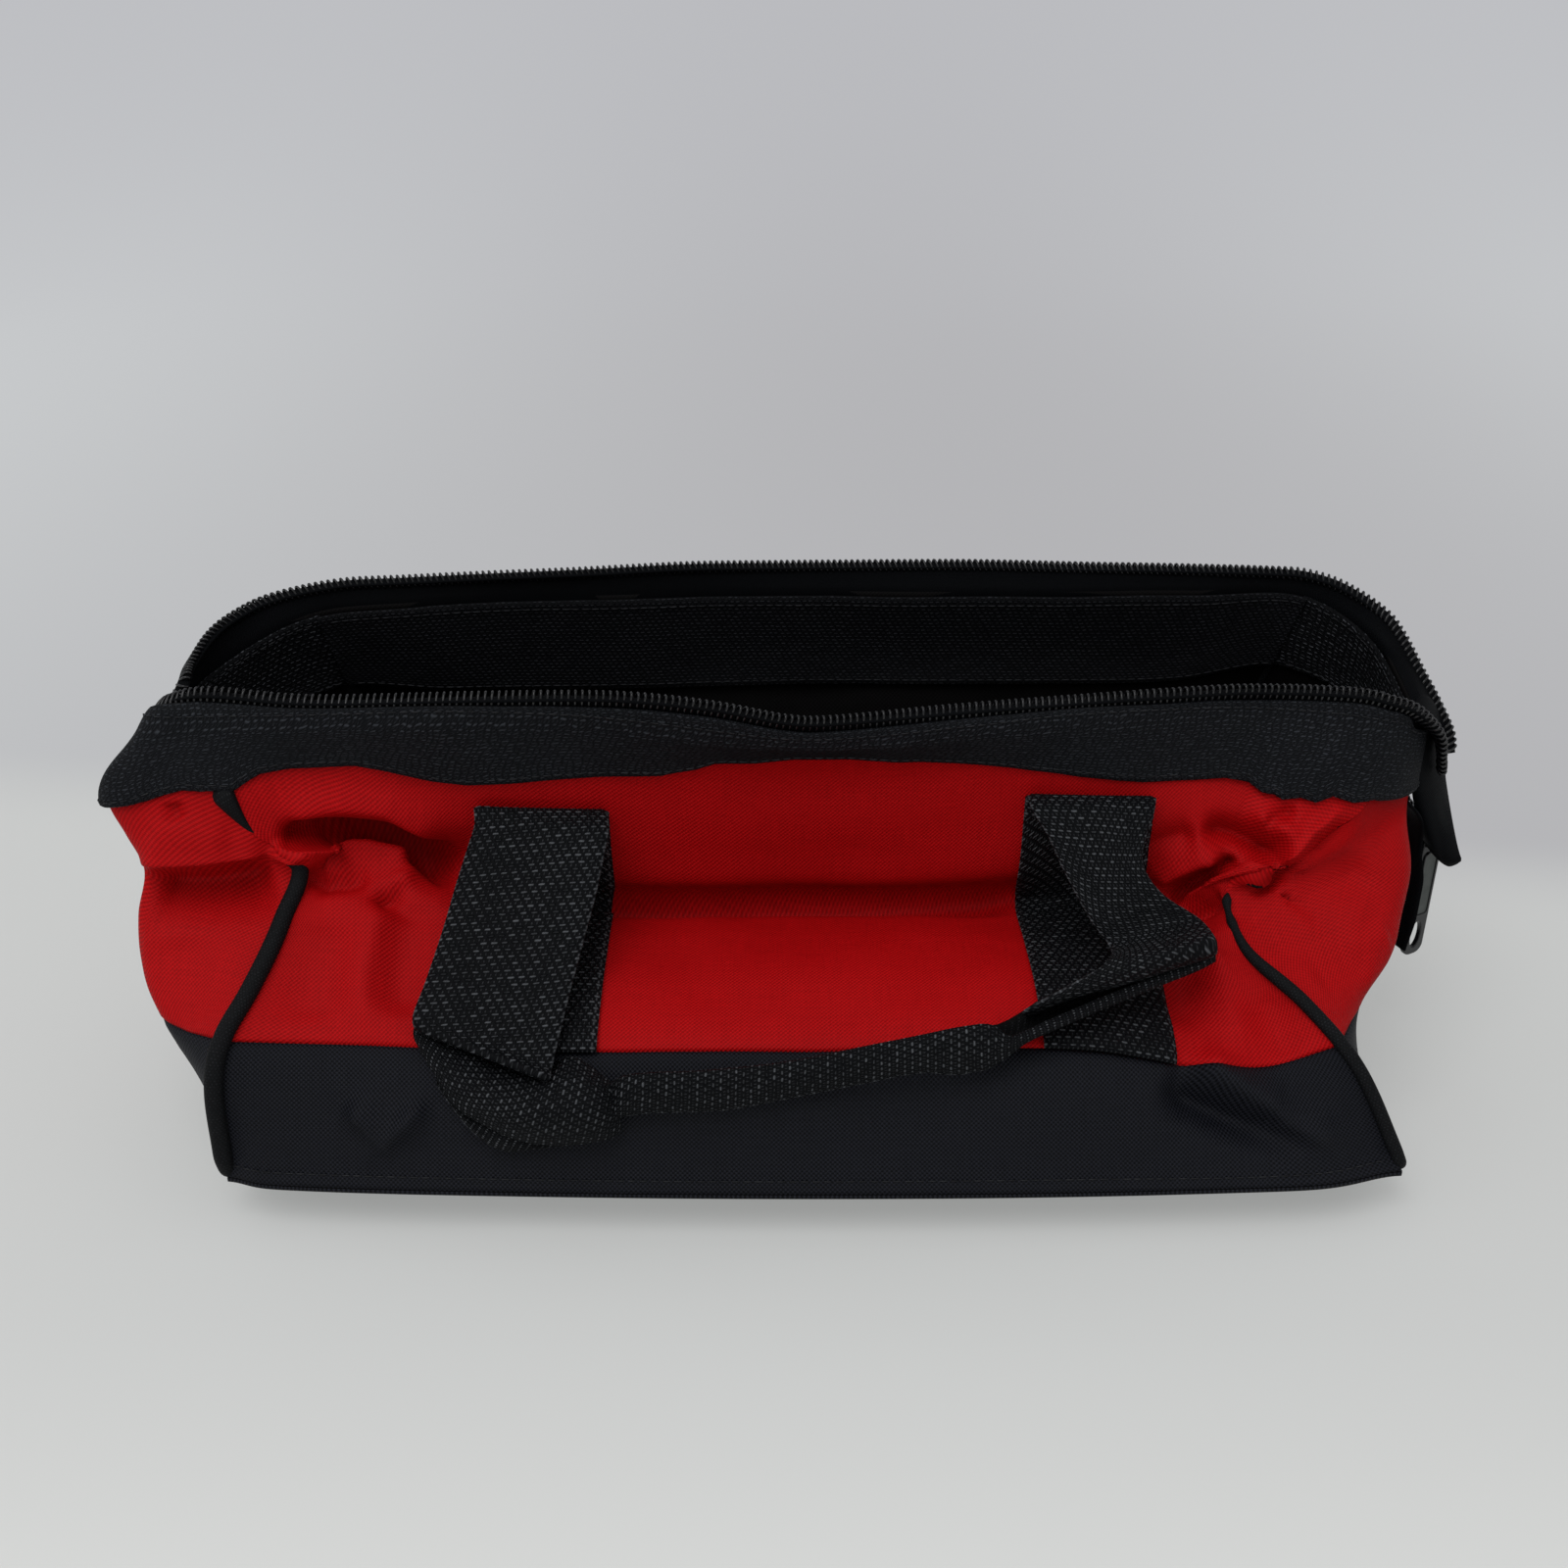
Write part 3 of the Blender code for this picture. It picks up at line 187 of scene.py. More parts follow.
def on_slope(px, py, y, z, slope):
    """The point on a pixel's ray where it meets a plane through y and z that falls towards the front."""
    direction = ray(px, py)
    t = (z - EYE[2] + slope * (EYE[1] - y)) / (direction[2] - slope * direction[1])
    return EYE + direction * t


def seen(points):
    """Where points show in the picture, and how deep they lie."""
    away = points - EYE
    deep = away[..., 1] * math.cos(TIP) - away[..., 2] * math.sin(TIP)
    up = away[..., 1] * math.sin(TIP) + away[..., 2] * math.cos(TIP)
    return MIDDLE + FOCAL * away[..., 0] / deep, MIDDLE - FOCAL * up / deep, deep


def hermite(a, b, slope_a, slope_b, t):
    """A cubic from a to b with the given end slopes."""
    bend = (2 * t**3 - 3 * t**2 + 1) * a + (t**3 - 2 * t**2 + t) * slope_a
    return bend + (-2 * t**3 + 3 * t**2) * b + (t**3 - t**2) * slope_b


def smooth(t):
    """A soft step from 0 to 1."""
    t = np.clip(t, 0, 1)
    return t * t * (3 - 2 * t)


def unit(v):
    """The same directions, one long."""
    v = np.asarray(v, float)
    return v / np.maximum(np.linalg.norm(v, axis=-1, keepdims=True), 1e-12)


def run_along(path):
    """The length run so far at each point of a path."""
    return np.concatenate([[0], np.cumsum(np.linalg.norm(np.diff(path, axis=0), axis=1))])


def read_off(where, run, rows):
    """Rows of values read between the knots where they are given."""
    return np.stack([np.interp(where, run, rows[:, k]) for k in range(rows.shape[1])], -1)


def settle(rows, times):
    """Smooths rows over their neighbours, in place. The first and the last stay."""
    for _ in range(times):
        rows[1:-1] = (rows[:-2] + 2 * rows[1:-1] + rows[2:]) / 4


def level_slopes(level):
    """The chord from each column to the next, and the slopes before and after each column."""
    points = LOOP[:, level]
    after = np.roll(points, -1, 0) - points
    chord = np.linalg.norm(after, axis=1)
    before = np.roll(after, 1, 0)
    back = np.roll(chord, 1)
    ahead, behind = after / chord[:, None], before / back[:, None]
    mean = (ahead * back[:, None] + behind * chord[:, None]) / (chord + back)[:, None]
    into, out = mean.copy(), mean.copy()
    for corner in CORNERS[:-1]:
        share = CORNER_ROUND_SHARES[level]
        into[corner] = share * mean[corner] + (1 - share) * behind[corner]
        out[corner] = share * mean[corner] + (1 - share) * ahead[corner]
    return chord, into, out


CHORD, INTO, OUT = (np.stack(part, 1) for part in zip(*[level_slopes(k) for k in range(LEVELS)]))


def wall(place, level):
    """Points of the wall's outer face."""
    place, level = np.broadcast_arrays(np.asarray(place, float), np.asarray(level, float))
    shape = place.shape
    place, level = place.ravel(), level.ravel()
    first = np.floor(place).astype(int)
    t = (place - first)[:, None, None]
    first = first % COLUMNS
    second = (first + 1) % COLUMNS
    chord = CHORD[first][..., None]
    column = hermite(LOOP[first], LOOP[second], OUT[first] * chord, INTO[second] * chord, t)
    steps = np.diff(column, axis=1)
    length = np.linalg.norm(steps, axis=2, keepdims=True)
    way = steps / length
    mean = (way[:, 1:] * length[:, :-1] + way[:, :-1] * length[:, 1:]) / (length[:, 1:] + length[:, :-1])
    slope = np.concatenate([way[:, :1], mean, way[:, -1:]], 1)
    low = np.clip(np.floor(level).astype(int), 0, LEVELS - 2)
    row = np.arange(len(low))
    step = length[row, low]
    points = hermite(column[row, low], column[row, low + 1], slope[row, low] * step,
                     slope[row, low + 1] * step, (level - low)[:, None])
    return points.reshape(shape + (3,))


def bare_normal(place, level, step=0.02):
    """The wall's outward direction."""
    low, high = np.clip(level - step, 0, LEVELS - 1), np.clip(level + step, 0, LEVELS - 1)
    along = wall(place + step, level) - wall(place - step, level)
    return unit(np.cross(along, wall(place, high) - wall(place, low)))


RANDOM = np.random.RandomState(7)
LATTICE = RANDOM.rand(32, 32, 32)


def noise(points, size):
    """A smooth seeded noise between -1 and 1."""
    p = np.asarray(points) / size + 100
    cell = np.floor(p).astype(int)
    t = smooth(p - cell)
    total = 0
    for dx in (0, 1):
        for dy in (0, 1):
            for dz in (0, 1):
                share = 1
                for k, d in enumerate((dx, dy, dz)):
                    share = share * (t[..., k] if d else 1 - t[..., k])
                a, b, c = (cell[..., 0] + dx) % 32, (cell[..., 1] + dy) % 32, (cell[..., 2] + dz) % 32
                total = total + LATTICE[a, b, c] * share
    return total * 2 - 1


# Search grid for the place and level that a pixel of the photograph shows
SEARCH = {}


def spot(px, py, side):
    """The place and level of one side's wall that shows nearest to a pixel."""
    if side not in SEARCH:
        places = np.linspace(CORNERS[side], CORNERS[side + 1], 240)
        levels = np.linspace(0, LEVELS - 1, 240)
        place, level = np.meshgrid(places, levels, indexing="ij")
        points = wall(place, level)
        facing = (bare_normal(place, level) * unit(EYE - points)).sum(-1)
        SEARCH[side] = (place, level, seen(points), facing)
    place, level, (x, y, _), facing = SEARCH[side]
    cost = (x - px) ** 2 + (y - py) ** 2 + np.where(facing < 0.02, 400, 0)
    k = np.unravel_index(np.argmin(cost), cost.shape)
    return place[k], level[k]


# Folds by side: pixels along the line, height, width below and above it, and how sharp its crest is.
# A height below zero is a hollow. Rear lines are given by place and level, as they can't be seen.
FOLDS = (
    (0, (
        (((276, 862), (302, 857), (340, 851), (385, 852), (420, 864), (446, 884), (462, 910)), -10, 3.6, 5.6, 0.1),
        (((276, 838), (310, 826), (350, 819), (395, 823), (432, 840), (464, 868)), 4.6, 3.6, 6, 0.3),
        (((280, 866), (310, 866), (345, 867), (382, 871), (408, 878), (422, 886)), 7, 6, 2.8, 0.4),
        (((272, 866), (292, 868), (318, 869), (345, 868)), 5, 5, 2.6, 0.4),
        (((418, 882), (416, 894), (406, 904), (396, 912)), 3.4, 3.2, 3.2, 0.2),
        (((412, 900), (402, 909), (392, 917), (388, 926)), -4.4, 3, 3, 0.3),
        (((300, 890), (325, 897), (352, 899), (380, 893)), -4.2, 3.2, 2.6, 0.3),
        (((308, 880), (335, 885), (362, 884)), 1.6, 2.6, 2.6, 0.1),
        (((396, 918), (382, 950), (374, 1000), (376, 1052)), 3.6, 8, 7, 0.2),
        (((422, 905), (408, 950), (402, 1000), (404, 1045)), -3.6, 9, 8, 0),
        (((330, 935), (318, 990), (312, 1050)), -1.6, 9, 9, 0),
        (((500, 915), (640, 924), (760, 925), (880, 924), (1000, 922), (1090, 914)), -9.5, 2.8, 5, 0.6),
        (((560, 890), (700, 893), (860, 894), (1000, 889), (1080, 880)), 3.2, 5.5, 9, 0),
        (((700, 985), (820, 992), (940, 980)), 0.9, 14, 14, 0),
        (((1222, 852), (1246, 850), (1268, 857), (1284, 868), (1296, 884)), -8.5, 3, 4.6, 0.2),
        (((1160, 872), (1190, 860), (1222, 852)), -3.2, 3, 4.6, 0.1),
        (((1170, 898), (1196, 882), (1224, 872), (1250, 872)), 6, 4, 3.6, 0.2),
        (((1192, 922), (1208, 910), (1228, 897), (1250, 885), (1266, 878)), -6, 2.2, 2.4, 0.4),
        (((1196, 928), (1222, 910), (1252, 896), (1284, 886), (1302, 878)), 5.6, 3.8, 3.2, 0.3),
        (((1206, 938), (1228, 927), (1248, 915)), -5, 3, 2.8, 0.3),
        (((1268, 826), (1296, 838), (1316, 852), (1318, 872), (1304, 888)), 4.2, 3.2, 4, 0.2),
        (((1290, 842), (1306, 834), (1324, 825)), -3.6, 2.4, 2.6, 0.3),
        (((1262, 908), (1290, 896), (1312, 880), (1340, 848), (1378, 819)), 4.6, 2.4, 4.4, 0.5),
        (((1250, 930), (1240, 975), (1256, 1030), (1270, 1085)), 3, 7, 7, 0.2),
        (((1222, 960), (1204, 1000), (1206, 1056)), -3, 6, 6, 0.1),
        (((1292, 1010), (1300, 1050), (1320, 1082)), -1.8, 6, 6, 0.1),
        (((1205, 1082), (1250, 1108), (1310, 1145), (1395, 1190)), 9.5, 5, 8, 0.6),
        (((1180, 1098), (1240, 1132), (1300, 1160), (1345, 1178)), -7.5, 6, 7, 0.1),
        (((1290, 1112), (1340, 1130), (1400, 1162)), -1.4, 6, 6, 0.1),
        (((350, 1120), (378, 1150), (398, 1178), (430, 1198)), 7.5, 4, 6, 0.6),
        (((440, 1120), (410, 1150), (385, 1178), (360, 1196)), 6.5, 5, 4, 0.6),
        (((372, 1178), (400, 1180), (440, 1176)), -4.5, 4, 5, 0.2),
        (((640, 1110), (760, 1130), (900, 1118)), 1.2, 12, 9, 0.1),
    )),
    (3, (
        (((136, 880), (170, 880), (210, 878), (250, 872), (282, 864)), 4.6, 1.8, 8, 0.6),
        (((140, 897), (175, 899), (215, 896), (250, 890), (282, 882)), -11, 11, 2.8, 0.3),
        (((180, 950), (185, 1000), (200, 1050)), -1.6, 9, 9, 0),
        (((176, 818), (180, 828), (184, 838)), -2.6, 2.6, 2.6, 0.3),
        (((150, 845), (190, 846), (240, 850)), 1.6, 7, 5, 0.1),
    )),
    (1, (
        (((1276, 916), (1302, 898), (1326, 876), (1350, 850), (1388, 824)), -6.5, 7, 2, 0.4),
        (((1318, 930), (1355, 905), (1400, 880)), -2.4, 8, 6, 0.1),
        (((1310, 925), (1350, 915), (1400, 940)), 1.4, 8, 8, 0.1),
        (((1370, 965), (1395, 960), (1420, 952)), 1.6, 5, 5, 0.3),
        (((1340, 1000), (1370, 990), (1400, 985)), -1.4, 6, 6, 0.1),
    )),
    (2, (
        (((10.2, 3.9), (11, 4), (12.2, 3.9), (13.2, 4), (14.4, 3.9), (15.8, 4)), -3.5, 3, 4.5, 0.5),
        (((10.4, 4.9), (10.9, 4.5), (11.5, 4.6)), -3, 4, 5, 0.2),
        (((15.6, 4.8), (15.1, 4.5), (14.5, 4.7)), -3, 4, 5, 0.2),
        (((10.3, 1.8), (10.6, 2.8), (10.7, 3.6)), 1.6, 6, 8, 0.2),
        (((15.7, 1.8), (15.4, 2.8), (15.3, 3.6)), 1.6, 6, 8, 0.2),
        (((12.6, 2.4), (13, 2.7), (13.6, 2.4)), 1, 14, 14, 0),
        (((12, 5.2), (13, 5), (14, 5.2)), -1.4, 9, 9, 0),
        (((10.4, 0.2), (10.8, 0.5), (11.2, 0.8)), 1.3, 6, 6, 0.2),
        (((15.6, 0.2), (15.2, 0.5), (14.8, 0.8)), 1.3, 6, 6, 0.2),
    )),
    (1, (
        (((8.2, 4.2), (8.8, 3.9), (9.6, 4.1)), 2, 4, 6, 0.4),
        (((8.4, 2.2), (9, 2.6), (9.5, 3.2)), -1.2, 7, 7, 0),
    )),
    (3, (
        (((16.4, 4.1), (17.1, 3.9), (17.9, 4.1)), 2.2, 3, 6, 0.4),
        (((16.6, 2), (17, 2.6), (17.2, 3.3)), -1.2, 7, 7, 0),
    )),
)


def fold_lines():
    """Each fold's line as places, levels and points of the wall."""
    made = []
    for side, folds in FOLDS:
        for line, height, below, above, sharp in folds:
            knots = np.array([spot(*p, side) if p[0] > COLUMNS else p for p in line])
            run = np.linspace(0, len(knots) - 1, 8 * (len(knots) - 1) + 1)
            knots = read_off(run, np.arange(len(knots)), knots)
            if knots[0, 0] > knots[-1, 0]:
                knots = knots[::-1]
            points = wall(knots[:, 0], knots[:, 1])
            made.append((knots, points, height * MM, below * MM, above * MM, sharp))
    return made


LINES = fold_lines()
# How many widths a fold reaches, and the share of its line over which each end runs out
FOLD_REACH, FOLD_TAPER = 3.2, 0.22


def fold_height(place, level, base):
    """How far the folds raise the wall there."""
    total = np.zeros(len(place))
    for knots, points, height, below, above, sharp in LINES:
        reach = FOLD_REACH * max(below, above)
        low, high = points.min(0) - reach, points.max(0) + reach
        near = np.nonzero(((base > low) & (base < high)).all(1))[0]
        if not len(near):
            continue
        span = np.diff(points, axis=0)
        long = np.maximum((span**2).sum(1), 1e-12)
        away = base[near][:, None] - points[None, :-1]
        t = np.clip((away * span).sum(2) / long, 0, 1)
        gap = np.linalg.norm(away - span * t[..., None], axis=2)
        best = gap.argmin(1)
        rows = np.arange(len(near))
        distance = gap[rows, best]
        step = np.diff(knots, axis=0)[best]
        rel_place = place[near] - knots[best, 0]
        rel_place = (rel_place + COLUMNS / 2) % COLUMNS - COLUMNS / 2
        side = step[:, 0] * (level[near] - knots[best, 1]) - step[:, 1] * rel_place
        width = np.where(side > 0, above, below)
        soft = np.exp(-((distance / width) ** 2))
        crest = np.exp(-(np.sqrt(distance**2 + (0.15 * width) ** 2) - 0.15 * width) / (0.6 * width))
        run = (best + t[rows, best]) / (len(points) - 1)
        taper = smooth(run / FOLD_TAPER) * smooth((1 - run) / FOLD_TAPER)
        total[near] += height * taper * (soft * (1 - sharp) + crest * sharp)
    return total


# Where the base's corners are, how far each goes and over what width
FOOT_CORNERS = ((0, 0.0025, 0.25), (20, 0.0025, 0.25), (6, 0.0050, 0.40), (10, -0.005, 0.3), (16, -0.005, 0.3))


def foot_shift(place, level):
    """How far the base's corners are rounded off to the rear or the front."""
    shift = 0
    for corner, far, width in FOOT_CORNERS:
        shift = shift + far * np.exp(-((place - corner) / width) ** 2)
    return shift * (1 - smooth(level / 0.9))


def skin(place, level, lift=0.0, folds=1.0):
    """Points of the wall with its folds, raised by lift along its outward direction."""
    place, level, lift = np.broadcast_arrays(np.asarray(place, float), np.asarray(level, float), lift)
    shape = place.shape
    place, level, lift = place.ravel(), level.ravel(), lift.ravel()
    base = wall(place, level)
    normal = bare_normal(place, level)
    turned = np.mod(place, COLUMNS)
    fade = smooth((level - 0.06) / 0.65)
    wrinkle = noise(base * (1, 1, 1.4), 0.030) * 0.7 * MM + noise(base, 0.011) * 0.22 * MM
    height = fold_height(turned, level, base) + wrinkle
    seam = np.exp(-((level - 1) / 0.035) ** 2) * 0.5 * MM
    out = base + normal * ((height * fade * folds - seam) + lift)[:, None]
    out[:, 1] += foot_shift(turned, level)
    return out.reshape(shape + (3,))


def linked(name, data):
    """A new object in the scene."""
    obj = bpy.data.objects.new(name, data)
    bpy.context.scene.collection.objects.link(obj)
    return obj


def new_object(name, points, faces, uvs=None, material=None, index=None):
    """A smooth mesh object from points and faces. uvs are given for each point."""
    mesh = bpy.data.meshes.new(name)
    mesh.from_pydata(np.asarray(points).tolist(), [], [tuple(f) for f in faces])
    if uvs is not None:
        layer = mesh.uv_layers.new(name="Cloth")
        loops = np.zeros(len(mesh.loops), int)
        mesh.loops.foreach_get("vertex_index", loops)
        layer.data.foreach_set("uv", np.asarray(uvs, float)[loops].ravel())
    mesh.polygons.foreach_set("use_smooth", np.full(len(mesh.polygons), True))
    for m in material if isinstance(material, list) else [material]:
        if m is not None:
            mesh.materials.append(m)
    if index is not None:
        mesh.polygons.foreach_set("material_index", np.asarray(index, int))
    mesh.update()
    return linked(name, mesh)


def grid_quads(rows, cols, start=0, flip=False):
    """The quads of a grid of points."""
    a = (np.arange(rows - 1)[:, None] * cols + np.arange(cols - 1)[None]).ravel() + start
    quads = np.stack([a, a + cols, a + cols + 1, a + 1], 1)
    return quads[:, ::-1] if flip else quads


def shell(name, outer, inner, uv, material, inside=None, covered_shade_rows=0, tucked=None):
    """A closed sheet between two grids of points. The inner face and edges may have another material.
    Rows covered at the top take the inner one's dark colour as painted shade, for the gaps between the parts above
    them, and tucked points, where a fold rolls over, the outer one."""
    rows, cols = outer.shape[:2]
    count = rows * cols
    i, j = np.arange(rows - 1) * cols, np.arange(cols - 1)
    end, top = i + cols - 1, (rows - 1) * cols + j
    rims = ((i, count + i, count + i + cols, i + cols), (end, end + cols, count + end + cols, count + end),
            (j, j + 1, count + j + 1, count + j), (top, count + top, count + top + 1, top + 1))
    quads = np.concatenate([grid_quads(rows, cols), grid_quads(rows, cols, count, True)]
                           + [np.stack(rim, 1) for rim in rims])
    points = np.concatenate([outer.reshape(-1, 3), inner.reshape(-1, 3)])
    uvs = np.concatenate([uv.reshape(-1, 2)] * 2)
    index = None
    if inside is not None:
        sheet = (rows - 1) * (cols - 1)
        index = np.zeros(len(quads), int)
        index[sheet:2 * sheet] = 1
        index[-2 * (cols - 1):] = 1
        if tucked is not None:
            rolled = tucked[:-1, :-1] | tucked[1:, :-1] | tucked[:-1, 1:] | tucked[1:, 1:]
            index[sheet:2 * sheet][rolled.ravel()] = 0
        if covered_shade_rows:
            index[:sheet].reshape(rows - 1, cols - 1)[:, -covered_shade_rows:] = 1
            index[2 * sheet:] = 1
    # Outer faces look outwards when the grid's rows and columns turn that way
    middle = outer[rows // 2, cols // 2] - inner[rows // 2, cols // 2]
    r, c = min(rows // 2, rows - 2), min(cols // 2, cols - 2)
    turn = np.cross(outer[r + 1, c] - outer[r, c], outer[r, c + 1] - outer[r, c])
    if turn.dot(middle) < 0:
        quads = quads[:, ::-1]
    return new_object(name, points, quads, uvs, [material, inside], index)


def surface_normals(grid):
    """The direction square to a grid of points, from its rows towards its columns."""
    along, across = np.gradient(grid, axis=0), np.gradient(grid, axis=1)
    return unit(np.cross(along, across))


def rounded(count, share):
    """How thick a strip is across its width, thinning out at both edges."""
    s = np.abs(np.linspace(-1, 1, count))
    t = np.clip((s - (1 - share)) / share, 0, 1)
    return np.sqrt(np.maximum(1 - t * t, 0.04))


def webbing(name, grid, material, thick=WEB_THICK, width=None, backwards=False, level=False):
    """A thick strip from a grid of middle points: rows along it, columns across it.
    backwards measures the weave from the strip's last row, and level keeps its rows straight."""
    rows, cols = grid.shape[:2]
    normal = surface_normals(grid)
    half = thick / 2 * rounded(cols, 0.09)[None, :, None]
    step = np.linalg.norm(np.diff(grid, axis=0), axis=2)
    run = np.concatenate([np.zeros((1, cols)), np.cumsum(step, axis=0)])
    wide = np.linspace(0, width or np.linalg.norm(np.diff(grid, axis=1), axis=2).sum(1).mean(), cols)
    if backwards:
        run = run[-1:] - run
    if level:
        across = np.linspace(-1, 1, cols)
        slope = (run * across).sum(1, keepdims=True) / (across**2).sum()
        run = run.mean(1, keepdims=True) + slope * across
    uv = np.stack(np.broadcast_arrays(wide[None, :], run), -1)
    return shell(name, grid + normal * half, grid - normal * half, uv, material)


def spline(rows, count):
    """A smooth curve through control rows, read at evenly spread steps."""
    rows = np.asarray(rows, float)
    chord = np.linalg.norm(np.diff(rows.reshape(len(rows), -1), axis=0), axis=1) ** 0.5
    knots = np.concatenate([[0], np.cumsum(np.maximum(chord, 1e-6))])
    slope = np.gradient(rows, knots, axis=0)
    places = np.linspace(0, knots[-1], count)
    low = np.clip(np.searchsorted(knots, places, side="right") - 1, 0, len(rows) - 2)
    step = (knots[low + 1] - knots[low]).reshape((-1,) + (1,) * (rows.ndim - 1))
    t = ((places - knots[low]).reshape(step.shape)) / step
    return hermite(rows[low], rows[low + 1], slope[low] * step, slope[low + 1] * step, t)


def even(path, step):
    """The path at even steps along its length."""
    run = run_along(path)
    return read_off(np.linspace(0, run[-1], max(int(round(run[-1] / step)), 2) + 1), run, path)


def ring_faces(rings, sides):
    """The faces of a closed tube made of rings."""
    i, k = np.arange(rings - 1)[:, None], np.arange(sides)[None]
    a, b = i * sides + k, i * sides + (k + 1) % sides
    quads = np.stack([a, b, b + sides, a + sides], -1).reshape(-1, 4)
    return quads.tolist() + [list(range(sides))[::-1], list(range((rings - 1) * sides, rings * sides))]


def tube(name, path, radius, sides, material, up=(0, 0, 1), flat=1.0):
    """A closed round tube along a path. radius may change along it."""
    path = np.asarray(path, float)
    count = len(path)
    radius = np.broadcast_to(radius, (count,))
    along = unit(np.gradient(path, axis=0))
    guide = np.asarray(up, float)
    points, uvs = [], []
    run = run_along(path)
    turn = math.tau * np.arange(sides) / sides
    for i in range(count):
        guide = unit(guide - along[i] * guide.dot(along[i]))
        second = np.cross(along[i], guide)
        ring = path[i] + radius[i] * (np.cos(turn)[:, None] * guide + flat * np.sin(turn)[:, None] * second)
        points.append(ring)
        uvs.append(np.stack([turn * radius.max(), np.full(sides, run[i])], 1))
    return new_object(name, np.concatenate(points), ring_faces(count, sides), np.concatenate(uvs), material)


def joined(name, parts, material):
    """Several meshes given as points and faces, as one object."""
    points, faces, start = [], [], 0
    for p, f in parts:
        points.append(p)
        faces += [tuple(k + start for k in face) for face in f]
        start += len(p)
    return new_object(name, np.concatenate(points), faces, None, material)


# Materials


class Tree:
    """A node tree with short calls."""

    def __init__(self, owner):
        owner.use_nodes = True
        self.owner, self.tree = owner, owner.node_tree

    def node(self, kind, **values):
        made = self.tree.nodes.new("ShaderNode" + kind)
        for key, value in values.items():
            setattr(made, key, value)
        return made

    def wire(self, source, target):
        """Gives a socket a number, a colour or another node's output."""
        if isinstance(source, tuple):
            target.default_value = (*source, 1)
        elif isinstance(source, (int, float)):
            target.default_value = source
        else:
            self.tree.links.new(source, target)

    def out(self, kind, *sources, **values):
        """The first output of a new node with its first inputs wired."""
        made = self.node(kind, **values)
        for source, socket in zip(sources, made.inputs):
            self.wire(source, socket)
        return made.outputs[0]

    def maths(self, operation, a, b=0.0, c=0.0):
        return self.out("Math", a, b, c, operation=operation)

    def add(self, a, b):
        return self.maths("ADD", a, b)

    def times(self, a, b):
        return self.maths("MULTIPLY", a, b)

    def fit(self, a, b, c):
        return self.maths("MULTIPLY_ADD", a, b, c)

    def wave(self, a):
        return self.maths("COSINE", a)

    def split(self, vector):
        made = self.node("SeparateXYZ")
        self.wire(vector, made.inputs[0])
        return [made.outputs[axis] for axis in range(3)]

    def uv(self):
        vector = self.out("UVMap", uv_map="Cloth")
        return vector, *self.split(vector)[:2]

    def place(self):
        return self.node("TexCoord").outputs["Object"]

    def noise(self, vector, scale, detail=2.0):
        made = self.node("TexNoise")
        for name, value in (("Vector", vector), ("Scale", scale), ("Detail", detail), ("Roughness", 0.5)):
            self.wire(value, made.inputs[name])
        return made.outputs["Fac"]

    def stretched(self, u, v, su, sv):
        return self.out("CombineXYZ", self.times(u, su), self.times(v, sv))

    def mixed(self, share, low, high, kind="RGBA"):
        """Between two colours or two numbers."""
        made = self.node("Mix", data_type=kind)
        first, result = (6, 2) if kind == "RGBA" else (2, 0)
        for value, slot in ((share, 0), (low, first), (high, first + 1)):
            self.wire(value, made.inputs[slot])
        return made.outputs[result]

    def ramp(self, value, low, high):
        return self.out("MapRange", value, low, high, interpolation_type="SMOOTHSTEP")

    def seen(self):
        """1 for what the camera sees, also in a mirror or through glass, and 0 for the light on things."""
        rays = self.node("LightPath").outputs
        return self.maths("MAXIMUM", self.maths("MAXIMUM", rays["Is Camera Ray"], rays["Is Glossy Ray"]),
                          rays["Is Transmission Ray"])

    def finish(self, colour, roughness, height, distance, strength=1.0, specular=0.5, metallic=0.0, coat=0.0):
        bump = self.node("Bump")
        for name, value in (("Strength", strength), ("Distance", distance), ("Height", height)):
            self.wire(value, bump.inputs[name])
        shader = self.tree.nodes["Principled BSDF"]
        for name, value in (("Base Color", colour), ("Roughness", roughness), ("Normal", bump.outputs[0]),
                            ("Specular IOR Level", specular), ("Metallic", metallic), ("Coat Weight", coat)):
            self.wire(value, shader.inputs[name])
        return self.owner


def woven(name, deep, lit, pitch, roughness, distance, specular, contrast=0.5, drift=0.25, lean=0.5):
    """Plain woven cloth: knuckles in a diamond lattice, with threads that vary and slow changes of tone.
    lean favours one of the two diagonals in which the knuckles line up."""
    t = Tree(bpy.data.materials.new(name))
    _, u, v = t.uv()
    a, b = t.times(u, math.tau / pitch), t.times(v, math.tau / pitch)
    rise, fall = t.wave(t.maths("SUBTRACT", a, b)), t.wave(t.add(a, b))
    knuckle = t.fit(t.add(t.times(rise, lean), t.times(fall, 1 - lean)), 0.5, 0.5)
    thread_u = t.noise(t.stretched(u, v, 2 / pitch, 0.1 / pitch), 1.0, 1.0)
    thread_v = t.noise(t.stretched(u, v, 0.1 / pitch, 2 / pitch), 1.0, 1.0)
    threads = t.add(thread_u, thread_v)
    slow = t.noise(t.place(), 22.0, 3.0)
    tone = t.add(t.fit(knuckle, contrast, 0.5 - contrast * 0.5), t.fit(threads, 0.22, -0.22))
    tone = t.add(tone, t.fit(slow, drift, -drift * 0.5))
    return t.finish(t.mixed(t.ramp(tone, 0.0, 1.0), deep, lit), t.fit(slow, 0.12, roughness - 0.06),
                    t.add(knuckle, t.times(threads, 0.3)), distance, specular=specular)


